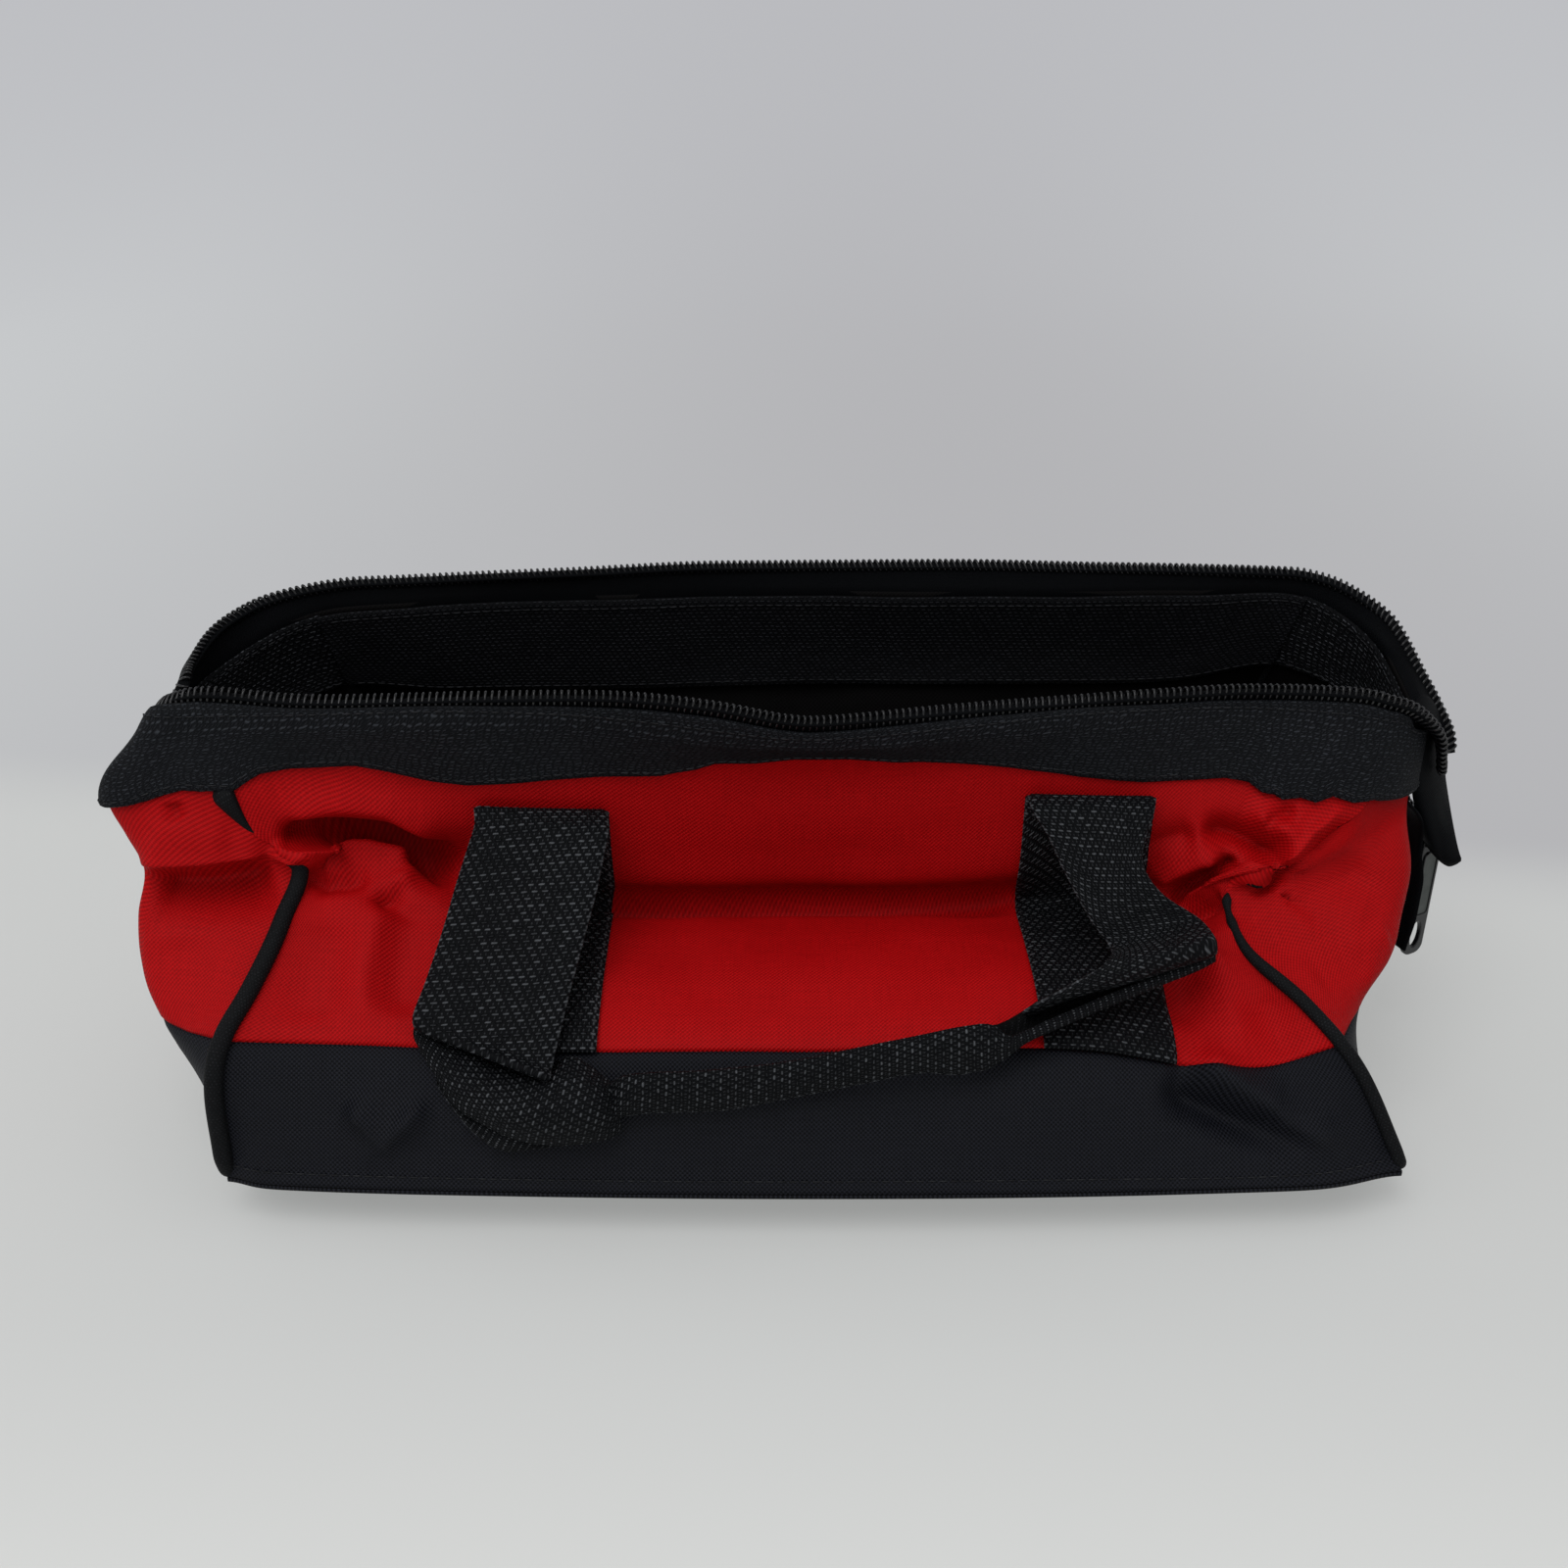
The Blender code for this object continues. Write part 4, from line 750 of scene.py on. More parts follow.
def webbed(name, deep, lit, across, rows, share, distance, play, edge=0.0, turned=False, ticks=0.35):
    """Coarse webbing: staggered rows of light dashes over dark yarn, with short upright yarns between the rows.
    play bends the rows, edge lightens the selvedges, and turned lays the dashes along the strip."""
    t = Tree(bpy.data.materials.new(name))
    vector, u, v = t.uv()
    if turned:
        u, v = v, u
    wide = u
    v = t.add(v, t.fit(t.noise(vector, 260.0), 2 * play * rows, -play * rows))
    u = t.add(u, t.fit(t.noise(vector, 420.0, 1.0), 2 * play * across, -play * across))
    row = t.times(v, 1 / rows)
    odd = t.times(t.maths("FLOORED_MODULO", t.maths("FLOOR", row), 2.0), 0.5)
    column = t.add(t.times(u, 1 / across), odd)
    long = t.ramp(t.wave(t.times(column, math.tau)), -0.98, 0.25)
    bar = t.fit(t.wave(t.times(row, math.tau)), -0.5, 0.5)
    dash = t.times(long, t.maths("POWER", bar, 3.0))
    upright = t.fit(t.wave(t.times(u, 2 * math.tau / across)), 0.5, 0.5)
    tick = t.times(t.maths("POWER", upright, 1.5), t.maths("POWER", t.maths("SUBTRACT", 1.0, bar), 1.4))
    cell = t.out("CombineXYZ", t.maths("FLOOR", t.add(column, 0.5)), t.maths("FLOOR", row))
    speck = t.out("TexWhiteNoise", cell, noise_dimensions="2D")
    fibre = t.noise(t.stretched(u, v, 900.0, 2600.0), 1.0, 3.0)
    slow = t.noise(t.place(), 40.0, 3.0)
    tone = t.add(t.times(dash, t.fit(speck, 0.6, 0.4)), t.times(tick, ticks))
    if edge:
        off = t.maths("ABSOLUTE", t.maths("SUBTRACT", wide, STRAP_WIDTH / 2))
        tone = t.add(tone, t.times(t.ramp(off, 0.0176, 0.0186), edge))
    tone = t.add(t.times(tone, t.fit(fibre, 1.2, 0.4)), t.fit(slow, 0.16, -0.06))
    height = t.add(t.add(dash, t.times(tick, 0.5)), t.times(fibre, 0.25))
    return t.finish(t.mixed(t.ramp(tone, *share), deep, lit), 0.7, height, distance, specular=0.1)


def plain(name, deep, lit, roughness, grain, distance, specular=0.5, metallic=0.0, coat=0.0):
    """Moulded or cast stuff with a fine grain and a slow change of tone."""
    t = Tree(bpy.data.materials.new(name))
    fine, slow = t.noise(t.place(), grain, 4.0), t.noise(t.place(), grain / 12, 3.0)
    tone = t.ramp(t.add(t.times(fine, 0.4), t.times(slow, 0.6)), 0.3, 0.7)
    return t.finish(t.mixed(tone, deep, lit), t.fit(slow, 0.2, roughness - 0.1), fine, distance, 0.5,
                    specular, metallic, coat)


RED = woven("red_oxford", (0.19, 0.0003, 0.0009), (0.47, 0.003, 0.0045), 0.0013, 0.62, 0.00015, 0.07,
            0.55, 0.18, 0.66)
BLACK = woven("black_oxford", (0.0008, 0.001, 0.002), (0.0118, 0.0126, 0.0178), 0.0013, 0.55, 0.00024, 0.1,
              1.0, 0.2)
LINING = woven("coated_lining", (0.001, 0.0009, 0.001), (0.0034, 0.0029, 0.0031), 0.0014, 0.6, 0.00008, 0.05)
TAPE = woven("zip_tape_weave", (0.0005, 0.0007, 0.0011), (0.002, 0.0024, 0.0034), 0.0009, 0.7, 0.00012, 0.06)
WEB = webbed("strap_webbing", (0.0009, 0.0012, 0.002), (0.085, 0.09, 0.098), 0.0027, 0.0021, (0.2, 1.12),
             0.0005, 0.1, 0.2, ticks=0.5)
# A darker copy of the strap webbing: painted shade for the inside of the front handle's fold
PAINTED_SHADE_WEB = webbed("painted_shade_webbing", (0.0012, 0.0013, 0.0016), (0.01, 0.01, 0.012), 0.003, 0.0022, (0.2, 1.1),
               0.0004, 0.1)
BAND = webbed("band_webbing", (0.0022, 0.0027, 0.0038), (0.028, 0.031, 0.037), 0.002, 0.00105, (0.0, 0.9),
              0.0004, 0.65, 0, True)
INNER = webbed("inner_webbing", (0.0009, 0.0011, 0.0018), (0.02, 0.021, 0.025), 0.002, 0.0012, (0.1, 1.0),
               0.0003, 0.3, 0, True)
# A lighter copy of the inner webbing for the end walls: painted light where their crumpled bands catch it
INNER_END_PAINTED_LIGHT = webbed("inner_end_webbing_painted_light", (0.001, 0.0012, 0.0019), (0.06, 0.063, 0.072), 0.0022, 0.0013, (0.22, 1.1),
                   0.0004, 0.5, 0, True)
CORD = webbed("piping_braid", (0.003, 0.0032, 0.0038), (0.014, 0.015, 0.017), 0.0011, 0.0008, (0.0, 0.9),
              0.0001, 0.2)
NYLON = plain("coil_nylon", (0.0015, 0.0015, 0.0018), (0.006, 0.006, 0.0075), 0.26, 900.0, 0.00003, 0.42)
THREAD = plain("black_thread", (0.004, 0.004, 0.005), (0.022, 0.023, 0.026), 0.6, 2500.0, 0.00005, 0.15)
# The slider's black lacquer is lightened to grey as a painted highlight; the end stop clip shares it
METAL_PAINTED_HIGHLIGHT = plain("slider_lacquer_painted_highlight", (0.045, 0.048, 0.05), (0.16, 0.165, 0.165), 0.32, 300.0, 0.00003, 0.5, 0.85)
PULL = plain("pull_lacquer", (0.003, 0.0033, 0.0038), (0.01, 0.011, 0.012), 0.24, 300.0, 0.00003, 0.35, 0.0, 0.1)
RECESS = plain("pull_recess", (0.038, 0.044, 0.041), (0.075, 0.083, 0.078), 0.4, 300.0, 0.00003, 0.5, 0.5)
BOARD = plain("base_board_stock", (0.006, 0.006, 0.006), (0.016, 0.015, 0.015), 0.5, 120.0, 0.0001)

# Fabric walls

LEVEL_ROWS = (32, 14, 15, 17, 18, 15, 10)
NAMES = ("front", "right_end", "rear", "left_end")
RIM_LEVEL = 6.98
COLUMN_COUNTS = (360, 160, 300, 160)
# Where a fold rolls over further than this, the cloth's back shows its outer colour, with some rows around
TUCKED_FACING, TUCKED_ROWS = 0.45, 4


def level_list(low, high):
    """The levels of the fine grid between two whole levels."""
    rows = [np.linspace(step, step + 1, LEVEL_ROWS[step] + 1)[:-1] for step in range(low, high)]
    return np.concatenate(rows + [[high]])


def lengths(points):
    """Length along the rows and along the columns of a grid of points, from its first corner."""
    run = np.linalg.norm(np.diff(points, axis=0), axis=2).mean(1)
    rise = np.linalg.norm(np.diff(points, axis=1), axis=2)
    u = np.concatenate([[0], np.cumsum(run)])
    v = np.concatenate([np.zeros((len(points), 1)), np.cumsum(rise, axis=1)], 1)
    return np.stack([np.broadcast_to(u[:, None], v.shape), v], -1)


def build_walls():
    """The kick band and the red upper wall of each side."""
    for side, name in enumerate(NAMES):
        places = np.linspace(CORNERS[side], CORNERS[side + 1], COLUMN_COUNTS[side] + 1)
        # The red panel's top rows, under the band, take the lining's dark colour: painted shade where they show
        # between band and tape
        for piece, material, low, high, covered_shade_rows in (("kick_panel", BLACK, 0, 1, 0), ("panel", RED, 1, 7, 7)):
            place, level = np.meshgrid(places, level_list(low, high), indexing="ij")
            outer = skin(place, level)
            normal, bare = surface_normals(outer), bare_normal(place, level)
            if (normal * bare).sum() < 0:
                normal = -normal
            uv = lengths(wall(place, level))
            tucked = (normal * bare).sum(-1) < TUCKED_FACING
            for _ in range(TUCKED_ROWS):
                tucked[1:] |= tucked[:-1]
                tucked[:-1] |= tucked[1:]
                tucked[:, 1:] |= tucked[:, :-1]
                tucked[:, :-1] |= tucked[:, 1:]
            obj = shell(name + "_" + piece + "_cloth", outer, outer - normal * FABRIC, uv, material,
                        LINING, covered_shade_rows, tucked)
            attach(obj, "bag")
            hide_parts(name + "_" + piece)


BASE_HEIGHTS = (0.0004, 0.0017)


def build_base():
    """The black base under the board."""
    t = np.linspace(0, 1, 120)
    edges = [first + (last - first) * t for first, last in (CORNERS[:2], CORNERS[3:1:-1])]
    front, rear = [wall(places, 0.0) + foot_shift(places, 0.0)[:, None] * (0, 1, 0) for places in edges]
    across = np.linspace(0, 1, 61)[None, :, None]
    middle = front[:, None] * (1 - across) + rear[:, None] * across
    top, low = middle.copy(), middle.copy()
    low[..., 2], top[..., 2] = BASE_HEIGHTS
    obj = shell("base_cloth", low, top, lengths(middle), BLACK, LINING)
    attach(obj, "bag")
    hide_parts("base_panel")


# The band's lower edge: pixels on the left end, the front and the right end, and then places and levels
BAND_EDGE = (
    (3, (112, 822), (136, 821), (166, 812), (186, 806), (206, 807)),
    (0, (238, 806), (252, 797), (266, 789), (295, 782), (330, 780), (362, 780), (395, 785), (445, 795), (478, 799),
     (546, 795), (612, 791), (672, 789), (705, 783), (725, 776), (771, 774), (811, 769), (861, 770), (900, 772),
     (982, 777), (1048, 785), (1098, 792), (1164, 797), (1220, 796), (1249, 794), (1270, 797), (1279, 802),
     (1288, 809), (1300, 811), (1308, 817), (1326, 815), (1342, 819), (1360, 814), (1378, 818)),
    (1, (1392, 812), (1404, 816), (1424, 814)))
BAND_REAR = ((8.2, 5.9), (9.0, 5.95), (10.0, 6.0), (13.0, 6.1), (16.0, 6.0), (17.0, 5.95), (17.9, 5.95))


def band_table():
    """The band's lower edge as places and levels round the whole mouth."""
    knots = list(BAND_REAR)
    for side, *pixels in BAND_EDGE:
        for pixel in pixels:
            place, level = spot(*pixel, side)
            knots.append((place - COLUMNS if side == 3 else place, min(max(level, 5.5), 6.5)))
    knots = np.array(sorted(knots))
    knots[knots[:, 0] > 17.95, 0] = 17.95
    ends = [[knots[-1, 0] - COLUMNS, knots[-1, 1]], [knots[0, 0] + COLUMNS, knots[0, 1]]]
    return np.array([ends[0], *knots, ends[1]])


BAND_TABLE = band_table()
BAND_TOP, OUTER_SWAY = 6.92, 0.7
BAND_CORNERS = ((0.1, 0.8), (20.1, 0.8), (5.75, 0.6), (10.2, 0.5), (15.8, 0.5))


def band_low(place):
    """The level of the band's lower edge."""
    return np.interp(np.mod(np.asarray(place) + 2, COLUMNS) - 2, *BAND_TABLE.T)


def band_play(base, place, sway):
    """How the band stands off the wall: it crumples at the mouth's four corners."""
    crumple = 1.0
    for corner, width in BAND_CORNERS:
        crumple = crumple + 1.9 * np.exp(-((place % COLUMNS - corner) / width) ** 2)
    slow, fast = noise(base * (1, 1, 0.5), 0.022), noise(base * (1, 1, 0.55), 0.0065)
    return (slow * 0.9 + fast * 0.30 * crumple) * sway * MM


def band_grid(first, last, low, high, lift, sway, folds=0.6, rows=26):
    """A band that follows the wall between two levels, with a little play in its height."""
    places = np.linspace(first, last, int(abs(last - first) * 80) + 1)
    t = np.linspace(0, 1, rows)
    place = np.broadcast_to(places[:, None], (len(places), rows))
    low = low(places)[:, None] if callable(low) else low
    level = low + (high - low) * t[None, :]
    return skin(place, level, lift + band_play(wall(place, level), place, sway), folds)


def band_crown(grid, places, table, leave, gone):
    """The outer band with the rows that carry it over the rim, to just under the coil."""
    line = coil_line(table)
    _, crest, edge = tape_rows(line, leave, gone)
    crest, edge = read_off(places, line[:, 3], crest), read_off(places, line[:, 3], edge)
    reach = np.linalg.norm(edge - crest, axis=1, keepdims=True)
    along = (edge - crest) / reach
    out = bare_normal(places, np.full(len(places), RIM_LEVEL))
    out = unit(out - along * (out * along).sum(1, keepdims=True))
    inside = smooth((places - line[0, 3]) / 0.4) * smooth((line[-1, 3] - places) / 0.4)
    fade = (inside * (1 - smooth((places - leave) / (gone - leave) * 2)))[:, None]
    rows = []
    for k in range(1, 7):
        share = k / 6 * np.clip(1 - 0.0017 / reach, 0.1, 1)
        over = crest + (edge - crest) * share + out * (1.7 - 0.2 * k / 6) * MM
        plain_top = grid[:, -1] + np.array((0, 0, 0.00025 * k))
        rows.append(plain_top * (1 - fade) + over * fade)
    grid = np.concatenate([grid, np.stack(rows, 1)], 1)
    settle(np.swapaxes(grid[:, -11:], 0, 1), 3)
    return grid


# The inner bands of the long walls and of the ends: how far they pass the corners, their depth and material. The
# ends take a lighter copy of the inner webbing, painted light on their crumpled bands.
INNER_BANDS = ((0.0, -3.3, INNER), (0.05, -2.3, INNER_END_PAINTED_LIGHT))


def build_bands():
    """The webbing that binds the mouth, outside and inside."""
    seams = []
    for name, first, last in (("mouth_band_front", -2, 8), ("mouth_band_rear", 8, 18)):
        grid = band_grid(first, last, band_low, BAND_TOP, 1.3 * MM, OUTER_SWAY)
        if first < 0:
            places = np.linspace(first, last, len(grid))
            grid = band_crown(grid, places, FRONT_COIL_SHARES[1:], *TAPE_FOLD_SHARES[:2])
        out = unit(np.cross(grid[1:, -5] - grid[:-1, -5], grid[1:, -4] - grid[1:, -6]))
        seams.append((grid[1:, -5] + out * 0.9 * MM, out))
        obj = webbing(name + "_web", grid[:, ::-1], BAND, WEB_THICK)
        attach(obj, "bag")
        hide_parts(name)
    for side, name in enumerate(NAMES):
        over, depth, material = INNER_BANDS[side % 2]
        grid = band_grid(CORNERS[side] - over, CORNERS[side + 1] + over, 5.5, RIM_LEVEL, depth * MM, 0.3, 1.0)
        obj = webbing("inner_band_" + name + "_web", grid, material, 0.0013)
        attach(obj, "bag")
        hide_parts("inner_band_" + name)
    return seams


# Stitches

# The levels of the seams along the base and on the inner bands
BASE_SEAM, INNER_SEAMS = 0.09, (5.6, 6.86)


def stitch_parts(path, normals, length=0.0024, gap=0.0008, radius=0.00022, sides=6):
    """Small thread capsules along a path."""
    run = run_along(path)
    turn = math.tau * np.arange(sides) / sides
    parts = []
    for k in range(int(run[-1] / (length + gap))):
        s = (k + 0.5) * (length + gap)
        start, middle, end = read_off(s + np.array((-length / 2, 0, length / 2)), run, path)
        along = unit(end - start)
        n = unit(read_off(s, run, normals))
        n = unit(n - along * n.dot(along))
        side = np.cross(along, n)
        rings = []
        for t, r, rise in ((-1, 0.35, -0.5), (-0.75, 0.9, 0.1), (0, 1, 0.5), (0.75, 0.9, 0.1), (1, 0.35, -0.5)):
            centre = middle + (end - start) / 2 * t + n * radius * rise
            rings.append(centre + radius * r * (np.cos(turn)[:, None] * n + np.sin(turn)[:, None] * side))
        parts.append((np.concatenate(rings), ring_faces(len(rings), sides)))
    return parts


def build_stitches(seams):
    """The seams' thread: along the band, the base and the inner band."""
    places = np.linspace(-2, 18, 1500)
    levels = band_low(places) + 0.10
    path = skin(places, levels, 2.15 * MM + band_play(wall(places, levels), places, OUTER_SWAY), 0.6)
    parts = stitch_parts(path, bare_normal(places, levels))
    for path, normals in seams:
        parts += stitch_parts(path, normals)
    obj = joined("band_stitches", parts, THREAD)
    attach(obj, "bag")
    parts = []
    for side in range(4):
        places = np.linspace(CORNERS[side] + 0.05, CORNERS[side + 1] - 0.05, 500)
        depth = INNER_BANDS[side % 2][1] - 0.8
        rows = ((BASE_SEAM, 0.1), (INNER_SEAMS[0], depth), (INNER_SEAMS[1], depth))
        for row, lift in rows if side else rows[:2]:
            level = np.full_like(places, row)
            out = bare_normal(places, level) * (1 if lift > 0 else -1)
            parts += stitch_parts(skin(places, level, lift * MM), out)
    obj = joined("seam_stitches", parts, THREAD)
    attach(obj, "bag")


def seam_level(corner, px, py):
    """The level on a corner's seam that shows nearest to a pixel."""
    levels = np.linspace(0, LEVELS - 1, 700)
    x, y, _ = seen(wall(float(corner), levels))
    return levels[np.argmin((x - px) ** 2 + (y - py) ** 2)]


def build_piping():
    """One cord up the front seam, across the base's end and up the rear seam, on each end.
    Near the mouth the front panels fold over it."""
    foot, step = 0.16, 0.0010
    for name, front, rear, top, thin, thick in (
            ("right_piping", CORNERS[1], CORNERS[2], (1257, 914), 0.0012, 0.0020),
            ("left_piping", CORNERS[0], CORNERS[3], (288, 868), 0.0024, 0.0026)):
        up = skin(float(front), np.linspace(seam_level(front, *top), foot, 160), 0.8 * MM, 0.35)
        down = skin(float(rear), np.linspace(foot, 5.95, 160), 0.6 * MM, 0.35)
        start, end = [wall(float(corner), 0.0) + (0, foot_shift(float(corner), 0.0), 0) for corner in (front, rear)]
        rise = np.array((0, 0, PIPING_RADIUS + 0.0003 - start[2]))
        across = start + (end - start) * np.linspace(0.012, 0.988, 60)[:, None] + rise
        path = even(np.concatenate([up, across, down]), step)
        settle(path, 3)
        path[:, 2] = np.maximum(path[:, 2], PIPING_RADIUS + 0.0002)
        run = np.arange(len(path)) * step
        radius = thin + (thick - thin) * smooth((run - 0.006) / 0.030)
        radius = radius * np.sqrt(np.clip(np.minimum(run, run[::-1]) / 0.0022, 0.05, 1))
        if name == "right_piping":
            radius = radius * (1 + 0.20 * np.sin(run / 0.0013) * smooth((0.016 - run) / 0.008))
        cord = tube(name + "_cord", path, radius, 20, CORD, (1, 0, 0))
        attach(cord, "bag")
        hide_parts(name)
    # The left cord shows once more, as a wedge between two folds under the band
    levels = np.linspace(seam_level(CORNERS[0], 264, 853), 6.2, 40)
    path = skin(0.0, levels, (0.4 - 4.0 * smooth((levels - 5.8) / 0.3)) * MM, 0.35)
    radius = 0.0006 + 0.0034 * smooth(np.linspace(0, 1, 40))
    wedge = tube("left_piping_wedge", path, radius, 16, CORD, (1, 0, 0), 0.7)
    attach(wedge, "bag")


# Zipper


def coil_line(table):
    """A coil's middle line, and its places along the rim."""
    table = np.asarray(table, float) / 1000
    slope = np.gradient(table, axis=0)
    places = np.linspace(0, len(table) - 1, 700)
    low = np.minimum(places.astype(int), len(table) - 2)
    fine = hermite(table[low], table[low + 1], slope[low], slope[low + 1], (places - low)[:, None])
    if fine[0, 3] > fine[-1, 3]:
        fine = fine[::-1]
    fine[:, 3] = np.maximum.accumulate(fine[:, 3])
    fine = np.concatenate([fine[:, :3] * SIZE, fine[:, 3:]], 1)
    settle(fine, 6)
    return fine


def tape_rows(line, leave, gone):
    """The tape's rows from its foot in the band over the rim to the coil. Past the place leave it lets go of
    the band, and at gone it leans outwards."""
    points, place = line[:, :3], line[:, 3]
    out = bare_normal(place, np.full(len(place), RIM_LEVEL))
    rim, foot = [skin(place, level, -0.6 * MM, 0.6) for level in (7.0, 6.72)]
    fold = smooth((place - leave) / (gone - leave))[:, None]
    rise, lean = np.minimum(2 * fold, 1), np.maximum(2 * fold - 1, 0)
    foot = foot * (1 - rise) + (rim - np.array((0, 0, 0.0015))) * rise
    crest = rim + np.array((0, 0, 0.0013)) + lean * out * 0.0042 + rise * np.array((0, 0, 0.001))
    edge = points - unit(points - crest) * 0.0003
    return foot, crest, edge


def build_coil(name, line, crest, wide, thick=0.0011, wire=0.00043):
    """The zipper's spiral: a flattened helix along its line."""
    path = line[:, :3]
    run = run_along(path)
    half = 0.5 * COIL_PITCH
    s = np.linspace(half, run[-1] - half, int(run[-1] / COIL_PITCH) * COIL_STEPS)
    tangent = unit(read_off(s, run, unit(np.gradient(path, axis=0))))
    head = read_off(s, run, unit(path - crest))
    head = unit(head - tangent * (head * tangent).sum(1, keepdims=True))
    face = np.cross(tangent, head)
    turn = math.tau * s / COIL_PITCH
    c, d = np.cos(turn)[:, None], np.sin(turn)[:, None]
    spiral = (read_off(s, run, path) + head * wide * (np.sign(c) * np.abs(c) ** 0.8)
              + face * thick * np.sign(d) * np.abs(d) ** 0.7 + tangent * (0.28 * COIL_PITCH * c))
    return tube(name, spiral, wire, 6, NYLON)


def build_zipper():
    """Both sides of the zipper along the mouth."""
    for name, table, leave, gone, wide in (("front", FRONT_COIL_SHARES, *TAPE_FOLD_SHARES[:2], 0.0023),
                                           ("rear", REAR_COIL_SHARES, *TAPE_FOLD_SHARES[2:], 0.0019)):
        line = coil_line(table)
        foot, crest, edge = tape_rows(line, leave, gone)
        obj = build_coil("zip_coil_" + name + "_spiral", line, crest, wide)
        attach(obj, "bag")
        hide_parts("zip_coil_" + name)
        core = even(line[:, :3], 0.0012)
        obj = tube("zip_core_" + name, core, 0.0019, 14, TAPE, unit(line[0, :3] - crest[0]), 0.42)
        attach(obj, "bag")
        rows = np.stack([foot + (crest - foot) * t * 2 if t < 0.5 else crest + (edge - crest) * (t * 2 - 1)
                         for t in np.linspace(0, 1, 13)])
        settle(rows, 2)
        obj = webbing("zip_tape_" + name + "_cloth", np.swapaxes(rows, 0, 1), TAPE, 0.0008)
        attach(obj, "bag")
        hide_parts("zip_tape_" + name)


def build_tail():
    """The folded tail and the zipper's closed end under it. Returns the closed end's middle y."""
    rows = deep_rows(
        ((1438, 727, -8), (1446, 713, -4), (1454, 710, 0), (1463, 720, 4), (1471, 742, 8)),
        ((1437, 752, -14), (1447, 744, -11), (1457, 743, -7), (1466, 750, -2), (1472, 760, 4)),
        ((1439, 782, -14), (1448, 782, -12), (1458, 782, -9), (1467, 785, -4), (1474, 790, 2)),
        ((1440, 802, -13), (1449, 803, -13), (1460, 804, -10), (1470, 807, -5), (1477, 812, 1)),
        ((1443, 822, -12), (1452, 825, -14), (1463, 826, -12), (1473, 830, -8), (1481, 835, -5)),
        ((1447, 840, -10), (1457, 846, -14), (1468, 849, -13), (1478, 852, -11), (1485, 856, -9)),
        ((1451, 852, -8), (1462, 863, -13), (1472, 869, -13), (1481, 871, -12), (1489, 871, -10)),
        ((1456, 862, -6), (1466, 873, -11), (1475, 879, -12), (1483, 879, -12), (1491, 876, -11)),
        ((1460, 866, -9), (1469, 876, -10), (1477, 882, -10), (1484, 881, -10), (1490, 877, -10)),
        ((1460, 862, -9), (1469, 870, -9.5), (1476, 876, -9.5), (1483, 876, -9.5), (1488, 873, -9.5)))
    grid = spline(np.array(rows), 70)
    grid = np.swapaxes(spline(np.swapaxes(grid, 0, 1), 30), 0, 1)
    obj = webbing("zip_tail_cloth", grid, TAPE, 0.0010)
    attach(obj, "bag")
    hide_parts("zip_tail")

    lane = np.array(TAIL_END_SHARES) * SIZE[[0, 2]]
    middle = spline(lane, 60)
    y = TAIL_Y_SHARE * HALF_DEPTH
    along = unit(np.gradient(middle, axis=0))
    out = np.stack([np.abs(along[:, 1]), -np.sign(along[:, 1]) * along[:, 0]], 1)

    def lane_point(k, side, lift):
        return np.array((middle[k, 0] + out[k, 0] * lift, y + side, middle[k, 1] + out[k, 1] * lift))

    half = 0.013
    wide = np.linspace(-half, half, 25)
    # The edge towards the front stands away from the wall, more so lower down
    flare = 0.0034 * smooth((np.arange(60) - 16) / 20) * (1 - 0.5 * smooth((np.arange(60) - 46) / 16))
    grid = np.array([[lane_point(k, w, 0.0006 + (0.0009 + (w < 0) * flare[k]) * (w / half) ** 2) for w in wide]
                     for k in range(len(middle))])
    obj = webbing("zip_end_tape_cloth", grid, TAPE, 0.0011)
    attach(obj, "bag")
    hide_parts("zip_end_tape")
    line = np.array([lane_point(k, 0, 0.0021) for k in range(5, 55)])
    crest = line - np.array((0, 0.01, 0))
    obj = build_coil("zip_end_coil_spiral", line, crest, 0.0024, 0.0006, 0.00042)
    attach(obj, "bag")
    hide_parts("zip_end_coil")
    return y


def plate(name, rings, thick, bevel, matrix, material):
    """A flat plate with holes and bevelled edges, from outlines of two values each."""
    curve = bpy.data.curves.new(name, "CURVE")
    curve.dimensions, curve.fill_mode = "2D", "BOTH"
    curve.extrude, curve.bevel_depth, curve.offset = thick / 2 - bevel, bevel, -bevel
    curve.bevel_resolution = 3
    for ring in rings:
        s = curve.splines.new("POLY")
        s.points.add(len(ring) - 1)
        for p, (a, b) in zip(s.points, ring):
            p.co = (a, b, 0, 1)
        s.use_cyclic_u = True
    holder = linked(name + "_outline", curve)
    bpy.context.view_layer.update()
    mesh = bpy.data.meshes.new_from_object(holder.evaluated_get(bpy.context.evaluated_depsgraph_get()))
    bpy.data.objects.remove(holder, do_unlink=True)
    mesh.transform(matrix)
    mesh.materials.clear()
    mesh.materials.append(material)
    mesh.name = name
    return linked(name, mesh)


def rounded_ring(wide, high, radius, count=10, centre=(0, 0)):
    """A rectangle's outline with round corners."""
    ring = []
    for k, (sx, sy) in enumerate(((1, 1), (-1, 1), (-1, -1), (1, -1))):
        for t in np.linspace(0, math.pi / 2, count):
            turn = t + k * math.pi / 2
            ring.append((centre[0] + sx * (wide / 2 - radius) + radius * math.cos(turn),
                         centre[1] + sy * (high / 2 - radius) + radius * math.sin(turn)))
    return ring


# How the pull hangs, in degrees: it leans out, stands across the slider and tips
PULL_TURNS = ((3.5, "Y"), (-62, "Z"), (5, "X"))


